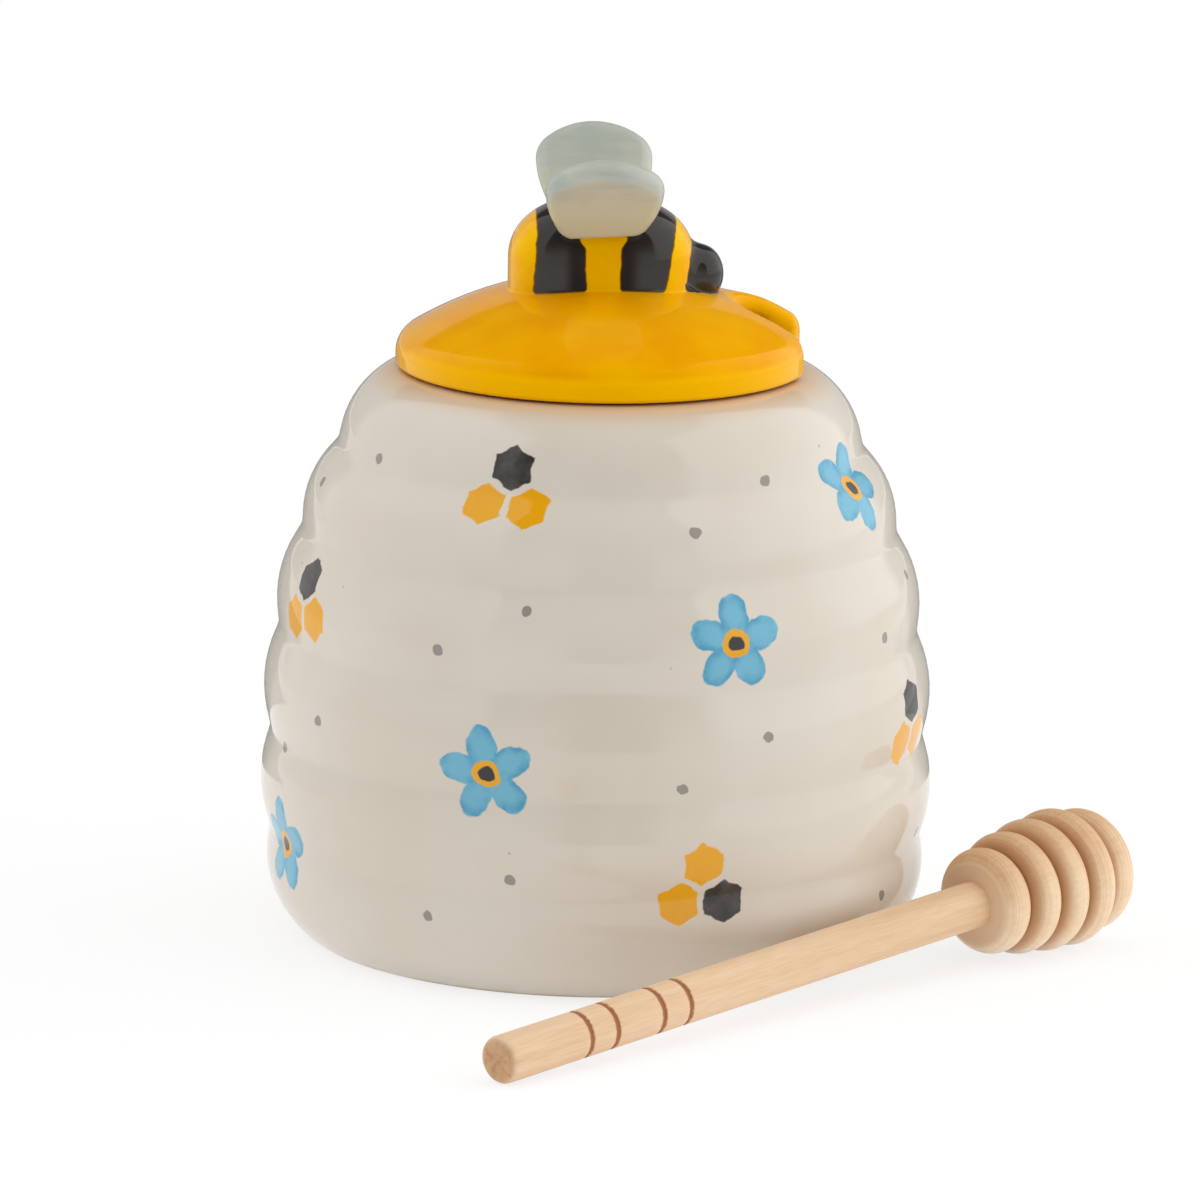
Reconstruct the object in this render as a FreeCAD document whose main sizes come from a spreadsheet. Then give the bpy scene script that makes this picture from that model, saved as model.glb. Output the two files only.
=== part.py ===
import FreeCAD, Part
import os
import re
import Sketcher

# Honey pot: a hive-ribbed jar, a domed lid with a bee for its knob, and a wooden dipper
# Millimetres, +Z up, origin in the middle of the foot ring, viewer on the -Y side

DIMENSIONS = {
    # Jar
    "pot_radius": 57.5,  # at the widest rib
    "pot_height": 98.3,  # floor to rim
    "pot_wall": 4.2,  # at the grooves of the widest ribs
    "groove_softness": 2.5,  # round in the bottom of each groove
    "foot_ring_width": 5.2,
    "foot_recess_depth": 2.5,
    "foot_recess_slope": 1.8,  # how far the recess narrows on the way up
    "foot_round": 1.2,
    "floor_thickness": 4.0,
    "mouth_radius": 31.0,
    "rim_width": 4.1,  # mouth to the outer edge, which the lid lines up with
    "rim_round": 1.2,
    "throat_depth": 8.0,  # straight part below the rim
    # Lid
    "lid_height": 15.4,  # seat to the top of the dome
    "lid_wall": 4.6,
    "lid_seat_gap": 0.3,
    "lid_edge_round": 0.9,  # below the widest line
    "lid_shoulder_round": 1.8,  # above the widest line
    "dome_radius": 64.0,
    "collar_clearance": 0.7,  # to the jar's throat
    "collar_thickness": 3.6,
    "collar_depth": 6.5,
    "collar_round": 1.2,  # along the free edge
    "notch_clearance": 1.0,  # handle's room between the notch's inner end and the throat
    "notch_width": 11.2,  # at the inner end
    "notch_mouth_width": 13.2,  # where the corners start to round
    "notch_corner_round": 2.0,
    # Bee
    "bee_length": 31.6,
    "bee_width": 20.8,
    "bee_side_height": 4.0,  # top of the dome to the bee's widest level
    "bee_crown": 9.8,  # widest level to the top of the back
    "bee_shift": -0.4,  # along X from the lid's axis
    "bee_turn": 3.5,  # degrees, head towards +Y
    "head_reach": 16.7,  # middle of the bee to the middle of the head
    "head_rise": 0.4,  # top of the dome to the middle of the head
    "head_length": 8.2,
    "head_width": 9.0,
    "head_height": 10.0,
    "wing_width": 19.9,
    "wing_thickness": 4.4,
    "wing_edge_round": 2.0,
    "wing_shoulder_radius": 6.2,  # at the outer corners
    "wing_side_radius": 22.1,
    "wing_corner_radius": 2.6,  # at the root
    "wing_taper": 26.0,  # degrees that the sides close in towards the root
    "wing_splay": 41.0,  # degrees from upright
    "wing_root_spread": 8.5,  # bee's middle plane to the root
    "wing_root_rise": 8.3,  # top of the dome to the root
    "wing_shift": -0.5,  # along the bee
    # Dipper
    "handle_diameter": 8.0,
    "handle_reach": 114.8,  # free end to the head's face
    "handle_end_round": 1.5,
    "tenon_length": 14.0,  # part of the handle inside the head
    "burnt_line_width": 0.9,
    "burnt_line_depth": 0.35,
    "head_ring_radius": 11.9,  # at the widest ring
    "head_ring_pitch": 6.2,
    "head_groove_depth": 2.9,
    "head_groove_width": 0.4,
    "head_end_rise": 1.2,  # dome of the far end
    "dipper_bearing": 45.9,  # degrees from +X in plan
    "dipper_clearance": 0.4,  # to the widest rib in plan
    "dipper_run": 85.9,  # free end to the point nearest the jar
    # Cuts run this far past a surface
    "overrun": 3.0,
}

# Jar's outline: one entry for the foot and each groove, and one bulge for each rib up to the rim
GROOVE_RADIUS_SHARES = [0.852, 0.967, 0.965, 0.943, 0.878, 0.775]
GROOVE_HEIGHT_SHARES = [0.0, 0.188, 0.360, 0.540, 0.712, 0.8605]
RIB_BULGE_SHARES = [0.0562, 0.0325, 0.0357, 0.0370, 0.0363, 0.0430]

# Chamber inside the jar
BELLY_HEIGHT_SHARE = 0.37
SHOULDER_BULGE_SHARE = 0.115
BASIN_BULGE_SHARE = 0.104
CHAMBER_FLOOR_SHARE = 0.66

# Dipper: burnt lines along the handle, ring sizes from the handle side, flat of the front face
BURNT_LINE_SHARES = [0.160, 0.213, 0.308, 0.363]
RING_RADIUS_SHARES = [0.77, 0.89, 0.965, 1.0, 0.89]
FACE_FLAT_SHARE = 0.75
END_FLAT_SHARE = 0.70
WIDEST_RING = 3

# Degrees that a wing's outline turns through at each outer corner
WING_SHOULDER_TURN = 45

# How closely an edge has to match the place it is looked for at
MATCH_SHARE = 1e-4

doc = FreeCAD.newDocument("HoneyPot")
sheet = doc.addObject("Spreadsheet::Sheet", "Dimensions")
for row, (alias, number) in enumerate(DIMENSIONS.items(), start=1):
    sheet.set(f"A{row}", alias)
    sheet.set(f"B{row}", str(number))
    sheet.setAlias(f"B{row}", alias)
doc.recompute()


def in_sheet(expression):
    """The expression with each dimension named in full, as other objects read it."""
    def full_name(word):
        return f"Dimensions.{word[0]}" if word[0] in DIMENSIONS else word[0]

    return re.sub(r"[a-z_]+", full_name, expression)


def value(expression):
    """The number that an expression in dimensions has now."""
    return float(sheet.evalExpression(expression))


def bind(item, **properties):
    """Tie properties of an object to expressions in dimensions."""
    for name, expression in properties.items():
        item.setExpression(name, in_sheet(expression))


def place(item, x, y, z, turn):
    """Tie an object's placement to expressions, with turn as yaw; pitch; roll."""
    bind(item, Placement=f"placement(vector({x}; {y}; {z}); rotation({turn}))")


def line():
    return None


def out_round(radius):
    """A side that is an arc of this radius and bows out of the outline."""
    return radius, True


def in_round(radius):
    """A side that is an arc of this radius and bows into the outline."""
    return radius, False


def radius_for(rise, start, end):
    """Radius of the arc between two corners that rises this far over its chord."""
    chord_squared = f"(({start[0]}) - ({end[0]}))^2 + (({start[1]}) - ({end[1]}))^2"
    return f"(({chord_squared}) / 4 + ({rise})^2) / (2 * ({rise}))"


def arc_between(start, end, radius, outwards):
    """Arc under half a circle, and the ends that it starts and finishes with."""
    chord = end - start
    to_left = FreeCAD.Vector(-chord.y, chord.x, 0).normalize()
    depth = (radius ** 2 - (chord.Length / 2) ** 2) ** 0.5
    centre = (start + end) / 2 + to_left * (depth if outwards else -depth)
    circle = Part.Circle(centre, FreeCAD.Vector(0, 0, 1), radius)
    first, last = (start, end) if outwards else (end, start)
    arc = Part.ArcOfCircle(circle, circle.parameter(first), circle.parameter(last))
    return arc, ((1, 2) if outwards else (2, 1))


def tie_to_axis(sketch, kind, side, point, expression, axis):
    """Hold one coordinate of a corner at an expression, or on the axis where it is zero."""
    number = value(expression)
    if number == 0:
        sketch.addConstraint(Sketcher.Constraint("PointOnObject", side, point, axis))
    elif number > 0:
        index = sketch.addConstraint(Sketcher.Constraint(kind, -1, 1, side, point, number))
        sketch.setExpression(f"Constraints[{index}]", in_sheet(expression))
    else:
        index = sketch.addConstraint(Sketcher.Constraint(kind, side, point, -1, 1, -number))
        sketch.setExpression(f"Constraints[{index}]", in_sheet(f"-({expression})"))


def draw(body, name, role, corners, sides):
    """Sketch of a closed outline, anticlockwise, on one of the body's own planes."""
    sketch = body.newObject("Sketcher::SketchObject", name)
    plane = next(item for item in body.Origin.OriginFeatures if item.Role == role)
    sketch.AttachmentSupport = [(plane, "")]
    sketch.MapMode = "FlatFace"
    spots = [FreeCAD.Vector(value(x), value(y), 0) for x, y in corners]
    ends = []
    for start, end, side in zip(spots, spots[1:] + spots[:1], sides):
        if side is None:
            sketch.addGeometry(Part.LineSegment(start, end))
            ends.append((1, 2))
        else:
            arc, arc_ends = arc_between(start, end, value(side[0]), side[1])
            sketch.addGeometry(arc)
            ends.append(arc_ends)
    for side, (x, y) in enumerate(corners):
        before = side - 1 if side else len(corners) - 1
        meeting = Sketcher.Constraint("Coincident", before, ends[before][1], side, ends[side][0])
        sketch.addConstraint(meeting)
        tie_to_axis(sketch, "DistanceX", side, ends[side][0], x, -2)
        tie_to_axis(sketch, "DistanceY", side, ends[side][0], y, -1)
        if sides[side] is not None:
            radius = sides[side][0]
            index = sketch.addConstraint(Sketcher.Constraint("Radius", side, value(radius)))
            sketch.setExpression(f"Constraints[{index}]", in_sheet(radius))
    doc.recompute()
    return sketch


def new_body(label):
    body = doc.addObject("PartDesign::Body", label)
    body.Label = label
    return body


def revolve(body, name, sketch, axis):
    feature = body.newObject("PartDesign::Revolution", name)
    feature.Profile = sketch
    feature.ReferenceAxis = (sketch, [axis])
    doc.recompute()
    return feature


def soften(body, name, base, edges, radius):
    """Fillet on the numbered edges of the feature before it."""
    feature = body.newObject("PartDesign::Fillet", name)
    feature.Base = (base, [f"Edge{number}" for number in edges])
    bind(feature, Radius=radius)
    doc.recompute()
    return feature


def rings_at(feature, places):
    """Numbers of the round edges at these radii and heights about the Z axis."""
    spots = [(value(radius), value(height)) for radius, height in places]
    near = value("pot_radius") * MATCH_SHARE
    found = []
    for number, edge in enumerate(feature.Shape.Edges, start=1):
        if not isinstance(edge.Curve, Part.Circle):
            continue
        ring = (edge.Curve.Radius, edge.Curve.Center.z)
        if any(abs(ring[0] - radius) < near and abs(ring[1] - height) < near for radius, height in spots):
            found.append(number)
    return found


def cut(label, base, tool):
    """What is left of one solid where the other stands against it."""
    result = doc.addObject("Part::Cut", label)
    result.Label = label
    result.Base = base
    result.Tool = tool
    doc.recompute()
    return result


# Jar: ribs outside, a smooth chamber inside, a straight throat and a recessed foot

RIM_RADIUS = "(mouth_radius + rim_width)"


def make_pot_body():
    body = new_body("pot_body")
    grooves = [
        (f"pot_radius * {radius_share}", f"pot_height * {height_share}")
        for radius_share, height_share in zip(GROOVE_RADIUS_SHARES, GROOVE_HEIGHT_SHARES)
    ]
    grooves.append((RIM_RADIUS, "pot_height"))
    foot = grooves[0]
    rib_sides = [
        out_round(radius_for(f"pot_radius * {share}", lower, upper))
        for share, lower, upper in zip(RIB_BULGE_SHARES, grooves, grooves[1:])
    ]
    recess_edge = f"{foot[0]} - foot_ring_width"
    floor_top = "foot_recess_depth + floor_thickness"
    throat_end = ("mouth_radius", "pot_height - throat_depth")
    belly = (f"pot_radius * {max(GROOVE_RADIUS_SHARES)} - pot_wall", f"pot_height * {BELLY_HEIGHT_SHARE}")
    floor_edge = (f"pot_radius * {CHAMBER_FLOOR_SHARE}", floor_top)
    below = [("0", "foot_recess_depth"), (f"{recess_edge} - foot_recess_slope", "foot_recess_depth"),
             (recess_edge, "0")]
    inside = [("mouth_radius", "pot_height"), throat_end, belly, floor_edge, ("0", floor_top)]
    sides = [line()] * len(below) + rib_sides + [line(), line()]
    sides += [
        in_round(radius_for(f"pot_radius * {SHOULDER_BULGE_SHARE}", throat_end, belly)),
        in_round(radius_for(f"pot_radius * {BASIN_BULGE_SHARE}", belly, floor_edge)),
        line(),
        line(),
    ]
    outline = draw(body, "PotOutline", "XZ_Plane", below + grooves + inside, sides)
    turned = revolve(body, "PotTurned", outline, "V_Axis")
    grooved = soften(body, "PotGrooves", turned, rings_at(turned, grooves[1:-1]), "groove_softness")
    rim = rings_at(grooved, [grooves[-1], ("mouth_radius", "pot_height")])
    rimmed = soften(body, "PotRim", grooved, rim, "rim_round")
    soften(body, "PotFoot", rimmed, rings_at(rimmed, [foot, (recess_edge, "0")]), "foot_round")
    return body


# Lid: dome and rounded edge, hollow underneath, a collar inside the throat, a notch for the handle

SEAT = "(pot_height + lid_seat_gap)"
DOME_TOP = f"({SEAT} + lid_height)"
DOME_CENTRE = f"({DOME_TOP} - dome_radius)"


def make_lid():
    body = new_body("lid")
    collar_outside = "(mouth_radius - collar_clearance)"
    collar_inside = f"({collar_outside} - collar_thickness)"
    collar_end = f"{SEAT} - collar_depth"
    free_edge = out_round("collar_round")
    hollow_radius = "(dome_radius - lid_wall)"
    round_middle = f"({RIM_RADIUS} - lid_shoulder_round)"
    round_reach = "(dome_radius - lid_shoulder_round)"
    side_top = f"({DOME_CENTRE} + sqrt({round_reach}^2 - {round_middle}^2))"
    shoulder = (f"{round_middle} * dome_radius / {round_reach}",
                f"{DOME_CENTRE} + ({side_top} - {DOME_CENTRE}) * dome_radius / {round_reach}")
    corners = [
        ("0", f"{DOME_CENTRE} + {hollow_radius}"),
        (collar_inside, f"{DOME_CENTRE} + sqrt({hollow_radius}^2 - {collar_inside}^2)"),
        (collar_inside, f"{collar_end} + collar_round"),
        (f"{collar_inside} + collar_round", collar_end),
        (f"{collar_outside} - collar_round", collar_end),
        (collar_outside, f"{collar_end} + collar_round"),
        (collar_outside, SEAT),
        (f"{RIM_RADIUS} - lid_edge_round", SEAT),
        (RIM_RADIUS, f"{SEAT} + lid_edge_round"),
        (RIM_RADIUS, side_top),
        shoulder,
        ("0", DOME_TOP),
    ]
    underside = [in_round(hollow_radius), line(), free_edge, line(), free_edge, line(), line()]
    edge = [out_round("lid_edge_round"), line(), out_round("lid_shoulder_round")]
    sides = underside + edge + [out_round("dome_radius"), line()]
    turned = revolve(body, "LidTurned", draw(body, "LidOutline", "XZ_Plane", corners, sides), "V_Axis")
    notch = body.newObject("PartDesign::Pocket", "LidNotch")
    notch.Profile = draw_notch(body)
    notch.Type = "ThroughAll"
    notch.Midplane = True
    doc.recompute()
    if notch.Shape.Volume >= turned.Shape.Volume:
        raise RuntimeError("the notch cuts nothing from the lid")
    return body


def draw_notch(body):
    """Round inner end, sides that open towards the edge, and corners that turn into it."""
    half_width = "notch_width / 2"
    start = "mouth_radius - handle_diameter - notch_clearance"
    round_end = f"{start} + {half_width}"
    half_mouth = "notch_mouth_width / 2"
    wide = f"({half_mouth} + notch_corner_round)"
    edge = f"sqrt({RIM_RADIUS}^2 - {wide}^2)"
    far = f"{RIM_RADIUS} + overrun"
    corners = [
        (start, "0"),
        (round_end, f"-{half_width}"),
        (f"{edge} - notch_corner_round", f"-{half_mouth}"),
        (edge, f"-{wide}"),
        (far, f"-{wide}"),
        (far, wide),
        (edge, wide),
        (f"{edge} - notch_corner_round", half_mouth),
        (round_end, half_width),
    ]
    quarter = out_round(half_width)
    corner = in_round("notch_corner_round")
    sides = [quarter, line(), corner, line(), line(), line(), corner, line(), quarter]
    return draw(body, "LidNotchOutline", "XY_Plane", corners, sides)


# Bee: loaf-shaped body on the dome, a round head against it, and two splayed wings

BEE_LEVEL = f"({DOME_TOP} + bee_side_height)"


def bee_point(along, across):
    """X and Y of a point given along and across the turned bee."""
    x = f"bee_shift + ({along}) * cos(bee_turn) - ({across}) * sin(bee_turn)"
    y = f"({along}) * sin(bee_turn) + ({across}) * cos(bee_turn)"
    return x, y


def make_dome_ball():
    """The ball that the dome's outside is part of, to seat the bee on it."""
    ball = doc.addObject("Part::Sphere", "DomeBall")
    bind(ball, Radius="dome_radius")
    place(ball, "0", "0", DOME_CENTRE, "0; 0; 0")
    return ball


def ellipsoid(name, length, width, height):
    """Ellipsoid by its full sizes along X, Y and Z."""
    solid = doc.addObject("Part::Ellipsoid", name)
    bind(solid, Radius1=f"({height}) / 2", Radius2=f"({length}) / 2", Radius3=f"({width}) / 2")
    return solid


def make_bee_body(ball):
    x, y = bee_point("0", "0")
    back = ellipsoid("BeeBack", "bee_length", "bee_width", "bee_crown * 2")
    back.Angle1 = 0
    place(back, x, y, BEE_LEVEL, "bee_turn; 0; 0")
    footprint = doc.addObject("Part::Ellipse", "BeeFootprint")
    bind(footprint, MajorRadius="bee_length / 2", MinorRadius="bee_width / 2")
    place(footprint, x, y, SEAT, "bee_turn; 0; 0")
    sides = doc.addObject("Part::Extrusion", "BeeSides")
    sides.Base = footprint
    sides.DirMode = "Custom"
    sides.Dir = FreeCAD.Vector(0, 0, 1)
    sides.Solid = True
    bind(sides, LengthFwd=f"{BEE_LEVEL} - {SEAT}")
    loaf = doc.addObject("Part::Fuse", "BeeLoaf")
    loaf.Base = back
    loaf.Tool = sides
    return cut("bee_body", loaf, ball)


def make_bee_head(ball, bee_body):
    x, y = bee_point("head_reach", "0")
    lump = ellipsoid("HeadLump", "head_length", "head_width", "head_height")
    place(lump, x, y, f"{DOME_TOP} + head_rise", "bee_turn; 0; 0")
    return cut("bee_head", cut("HeadSeated", lump, ball), bee_body)


def make_wing(label, side, bee_body):
    """A thick rounded slab, narrower at its root, leaning out to one side of the bee."""
    slab = new_body(f"{label}_slab")
    half = "(wing_width / 2)"
    side_middle = f"({half} - wing_side_radius)"
    drop = "(wing_side_radius - wing_corner_radius)"
    widest = f"({drop} * sin(wing_taper) + wing_corner_radius)"
    root_half = f"({side_middle} + {drop} * cos(wing_taper))"
    narrow = (f"({side_middle} + wing_side_radius * cos(wing_taper))",
              f"{widest} - wing_side_radius * sin(wing_taper)")
    shoulder_middle = f"({half} - wing_shoulder_radius)"
    shoulder = (f"({shoulder_middle} + wing_shoulder_radius * cos({WING_SHOULDER_TURN}))",
                f"{widest} + wing_shoulder_radius * sin({WING_SHOULDER_TURN})")
    right_side = [(root_half, "0"), narrow, (half, widest), shoulder]
    left_side = [(f"-{x}", y) for x, y in reversed(right_side)]
    corner = out_round("wing_corner_radius")
    flank = out_round("wing_side_radius")
    outer_corner = out_round("wing_shoulder_radius")
    top = out_round(f"wing_shoulder_radius + {shoulder_middle} / cos({WING_SHOULDER_TURN})")
    sides = [corner, flank, outer_corner, top, outer_corner, flank, corner, line()]
    pad = slab.newObject("PartDesign::Pad", f"{label}_pad")
    pad.Profile = draw(slab, f"{label}_outline", "XY_Plane", right_side + left_side, sides)
    pad.Midplane = True
    bind(pad, Length="wing_thickness")
    doc.recompute()
    rims = [number for number, edge in enumerate(pad.Shape.Edges, start=1)
            if edge.BoundBox.ZLength < value("wing_thickness") * MATCH_SHARE]
    soften(slab, f"{label}_edges", pad, rims, "wing_edge_round")
    x, y = bee_point("wing_shift", f"{side} * wing_root_spread")
    place(slab, x, y, f"{DOME_TOP} + wing_root_rise", f"bee_turn; 0; 90 - {side} * wing_splay")
    return cut(label, slab, bee_body)


# Dipper: a dowel with burnt lines, glued into a turned head of five rings, lying by the jar

WIDEST_PLACE = f"(handle_reach + head_ring_pitch * {WIDEST_RING} + head_ring_pitch / 2)"
DIPPER_TILT = f"asin((head_ring_radius - handle_diameter / 2) / {WIDEST_PLACE})"


def lay_down(body):
    """Lay a piece turned about X on the floor, along the dipper's line beside the jar."""
    away = "(pot_radius + handle_diameter / 2 + dipper_clearance)"
    x = f"{away} * sin(dipper_bearing) - dipper_run * cos(dipper_bearing)"
    y = f"-{away} * cos(dipper_bearing) - dipper_run * sin(dipper_bearing)"
    z = f"handle_diameter / 2 * cos({DIPPER_TILT})"
    place(body, x, y, z, f"dipper_bearing; -{DIPPER_TILT}; 0")


def make_dipper_handle():
    body = new_body("dipper_handle")
    radius = "handle_diameter / 2"
    end = "handle_reach + tenon_length"
    corners = [("0", "0"), (end, "0"), (end, radius)]
    sides = [line()] * len(corners)
    for share in reversed(BURNT_LINE_SHARES):
        middle = f"handle_reach * {share}"
        edges = [(f"{middle} + burnt_line_width / 2", radius), (f"{middle} - burnt_line_width / 2", radius)]
        corners += edges
        sides += [in_round(radius_for("burnt_line_depth", *edges)), line()]
    corners += [("handle_end_round", radius), ("0", f"{radius} - handle_end_round")]
    sides += [out_round("handle_end_round"), line()]
    revolve(body, "HandleTurned", draw(body, "HandleOutline", "XZ_Plane", corners, sides), "H_Axis")
    lay_down(body)
    return body


def ring_side(radius, start, end):
    """Side of a ring that bows out to this radius between two corners."""
    return out_round(radius_for(f"{radius} - ({start[1]} + {end[1]}) / 2", start, end))


def make_dipper_head():
    body = new_body("dipper_head")
    radii = [f"head_ring_radius * {share}" for share in RING_RADIUS_SHARES]
    last = len(radii) - 1
    far_end = f"(handle_reach + head_ring_pitch * {len(radii)})"
    bore = "handle_diameter / 2"
    bore_end = "handle_reach + tenon_length"
    end_flat = (far_end, f"{radii[last]} * {END_FLAT_SHARE}")
    corners = [(bore_end, "0"), (f"{far_end} + head_end_rise", "0"), end_flat]
    sides = [line(), out_round(radius_for("head_end_rise", ("0", f"{end_flat[1]} * 2"), ("0", "0")))]
    for ring in range(last, 0, -1):
        floor = f"(({radii[ring]} + {radii[ring - 1]}) / 2 - head_groove_depth)"
        groove = f"handle_reach + head_ring_pitch * {ring}"
        edges = [(f"{groove} + head_groove_width / 2", floor), (f"{groove} - head_groove_width / 2", floor)]
        sides += [ring_side(radii[ring], corners[-1], edges[0]), line()]
        corners += edges
    face_flat = ("handle_reach", f"{radii[0]} * {FACE_FLAT_SHARE}")
    sides += [ring_side(radii[0], corners[-1], face_flat), line(), line(), line()]
    corners += [face_flat, ("handle_reach", bore), (bore_end, bore)]
    revolve(body, "HeadTurned", draw(body, "HeadOutline", "XZ_Plane", corners, sides), "H_Axis")
    lay_down(body)
    return body


def write_parts(pieces):
    """Check every object and every piece, then write one file for each piece."""
    doc.recompute()
    failed = [item.Label for item in doc.Objects if {"Invalid", "Error"} & set(item.State)]
    failed += [piece.Label for piece in pieces if piece.Shape.isNull() or not piece.Shape.isValid()]
    if failed:
        raise RuntimeError("these objects failed: " + ", ".join(failed))
    os.makedirs("parts", exist_ok=True)
    for piece in pieces:
        piece.Shape.exportStep(f"parts/{piece.Label}.step")
        print(piece.Label, len(piece.Shape.Solids), "solid", round(piece.Shape.Volume), "cubic millimetres")


dome_ball = make_dome_ball()
pot_body = make_pot_body()
lid = make_lid()
bee_body = make_bee_body(dome_ball)
bee_head = make_bee_head(dome_ball, bee_body)
front_wing = make_wing("front_wing", -1, bee_body)
rear_wing = make_wing("rear_wing", 1, bee_body)
dipper_handle = make_dipper_handle()
dipper_head = make_dipper_head()
write_parts([pot_body, lid, bee_body, bee_head, front_wing, rear_wing, dipper_handle, dipper_head])
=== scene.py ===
import itertools
import math

import bpy
import numpy as np
from bpy.props import FloatProperty, FloatVectorProperty, PointerProperty
from bpy.types import Operator, Panel, PropertyGroup
from mathutils import Matrix, Vector


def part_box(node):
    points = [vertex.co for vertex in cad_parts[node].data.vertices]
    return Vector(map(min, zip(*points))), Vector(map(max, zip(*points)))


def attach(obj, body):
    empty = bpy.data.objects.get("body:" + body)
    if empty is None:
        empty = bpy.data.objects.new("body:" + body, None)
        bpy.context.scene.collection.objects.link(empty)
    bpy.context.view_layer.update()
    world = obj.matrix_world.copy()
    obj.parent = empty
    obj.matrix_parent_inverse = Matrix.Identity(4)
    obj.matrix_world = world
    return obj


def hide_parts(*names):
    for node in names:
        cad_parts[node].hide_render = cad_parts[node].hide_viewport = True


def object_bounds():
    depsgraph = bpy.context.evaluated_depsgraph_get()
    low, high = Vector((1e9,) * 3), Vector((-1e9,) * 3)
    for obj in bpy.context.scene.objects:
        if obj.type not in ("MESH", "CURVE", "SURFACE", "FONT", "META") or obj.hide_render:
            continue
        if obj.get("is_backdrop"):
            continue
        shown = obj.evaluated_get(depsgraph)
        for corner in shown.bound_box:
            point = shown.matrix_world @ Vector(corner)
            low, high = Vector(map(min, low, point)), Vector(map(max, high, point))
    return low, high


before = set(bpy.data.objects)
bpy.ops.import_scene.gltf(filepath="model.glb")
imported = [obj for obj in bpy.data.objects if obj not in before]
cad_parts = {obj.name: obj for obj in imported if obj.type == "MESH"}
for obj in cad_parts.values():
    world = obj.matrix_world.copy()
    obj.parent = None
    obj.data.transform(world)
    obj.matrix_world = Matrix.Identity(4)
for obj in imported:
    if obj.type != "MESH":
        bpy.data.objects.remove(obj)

CAD_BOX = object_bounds()

bl_info = {
    "name": "Honey Pot",
    "version": (1, 0, 0),
    "blender": (4, 5, 0),
    "location": "View3D > Sidebar > Honey Pot",
    "description": "Glazes the ribbed jar, its notched lid and bee, and finishes the turned dipper",
    "category": "Object",
}

MM = 0.001

# Jar's outline: foot and grooves as shares of the jar's radius and height, and the bulge of each rib
GROOVE_RADIUS_SHARES = (0.852, 0.967, 0.965, 0.943, 0.878, 0.775)
GROOVE_HEIGHT_SHARES = (0.0, 0.188, 0.360, 0.540, 0.712, 0.8605)
RIB_BULGE_SHARES = (0.0562, 0.0325, 0.0357, 0.0370, 0.0363, 0.0430)
CHAMBER_BELLY_SHARE = 0.37
CHAMBER_FLOOR_SHARE = 0.66
SHOULDER_BULGE_SHARE = 0.115
BASIN_BULGE_SHARE = 0.104

# Dipper: burnt lines along the handle, the radius of each ring of the head, and its flat ends
BURNT_LINE_SHARES = (0.160, 0.213, 0.308, 0.363)
RING_RADIUS_SHARES = (0.77, 0.89, 0.965, 1.0, 0.89)
WIDEST_RING = 3
FACE_FLAT_SHARE = 0.75
END_FLAT_SHARE = 0.70
HANDLE_SOFTNESS = 0.12 * MM
RING_SOFTNESS = 0.15 * MM

# Print: how often it repeats round the jar, its rows, and how far the motifs and their edges stray
PRINT_COLUMNS = 8
PRINT_ROWS = 4
PRINT_SEED = 3.0
PRINT_STRAY = (9 * MM, 4 * MM, 0)
PRINT_SHAKE = (1.3 * MM, 1.3 * MM, 0)

# Motifs of the print: petals and eye of a blossom, cells of the comb, and a pair of dots
PETAL_PLACE = 4.7 * MM
PETAL_HALF_LENGTH = 3.7 * MM
PETAL_HALF_WIDTH = 2.7 * MM
EYE_RADIUS = 2.45 * MM
HEART_RADIUS = 1.35 * MM
CELL_PLACE = 4.5 * MM
CELL_RADIUS = 3.35 * MM
INK_EDGE = 0.15 * MM
DOT_OFFSETS = ((8 * MM, 3 * MM, 0), (-7 * MM, -5 * MM, 0))
DOT_RADIUS = 0.95 * MM
DOT_EDGE = 0.1 * MM

# Black bands of the bee: where each starts and ends, as shares of the bee's length from its middle,
# each followed by how far that edge leans forwards on the way up, and by how it shies from the wings
BLACK_BANDS = (
    ((-0.374, 0.055, 0.0), (-0.0975, -0.03, -1.0)),
    ((0.0845, 0.03, 1.0), (0.3285, 0.18, 0.0)),
    ((0.442, 0.18, 0.0), (0.9, 0.0, 0.0)),
)

# Surfaces: least and greatest roughness of glaze, roughness of bare clay, least roughness of wood
GLAZE_ROUGHNESS = (0.02, 0.06)
CLAY_ROUGHNESS = 0.75
WOOD_ROUGHNESS = 0.45
PINHOLE_DEPTH = 0.004 * MM

# How finely the pieces are made: sides of the turned ones, grid steps of the formed ones
JAR_SIDES = 256
HANDLE_SIDES = 96
RING_SIDES = 128
LID_GRID = 0.5 * MM
BODY_GRID = 0.35 * MM
HEAD_GRID = 0.25 * MM
WING_GRID = 0.35 * MM
EVENING_ROUNDS = 8

# Studio that the glaze mirrors: heights in degrees where the walls start and end to fade into the ceiling,
# ahead, behind and at the sides, and the bearing and the half width of the dim side round the camera
WALL_FADES = ((0, 26, 62), (35, 29, 67))
DIM_BEARING = math.radians(5)
DIM_EDGES = (math.radians(22), math.radians(11))


# Sizes and colours

def to_linear(channel):
    share = channel / 255
    return share / 12.92 if share <= 0.04045 else ((share + 0.055) / 1.055) ** 2.4


def amount(name, description, default, **limits):
    return FloatProperty(name=name, description=description, default=default, **limits)


def size(name, description, millimetres):
    return amount(name, description, millimetres * MM, unit="LENGTH", precision=4)


def angle(name, description, degrees):
    return amount(name, description, math.radians(degrees), subtype="ANGLE")


def colour(name, description, red, green, blue):
    return FloatVectorProperty(
        name=name, description=description, subtype="COLOR", size=3, min=0, max=1,
        default=[to_linear(channel) for channel in (red, green, blue)],
    )


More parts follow.
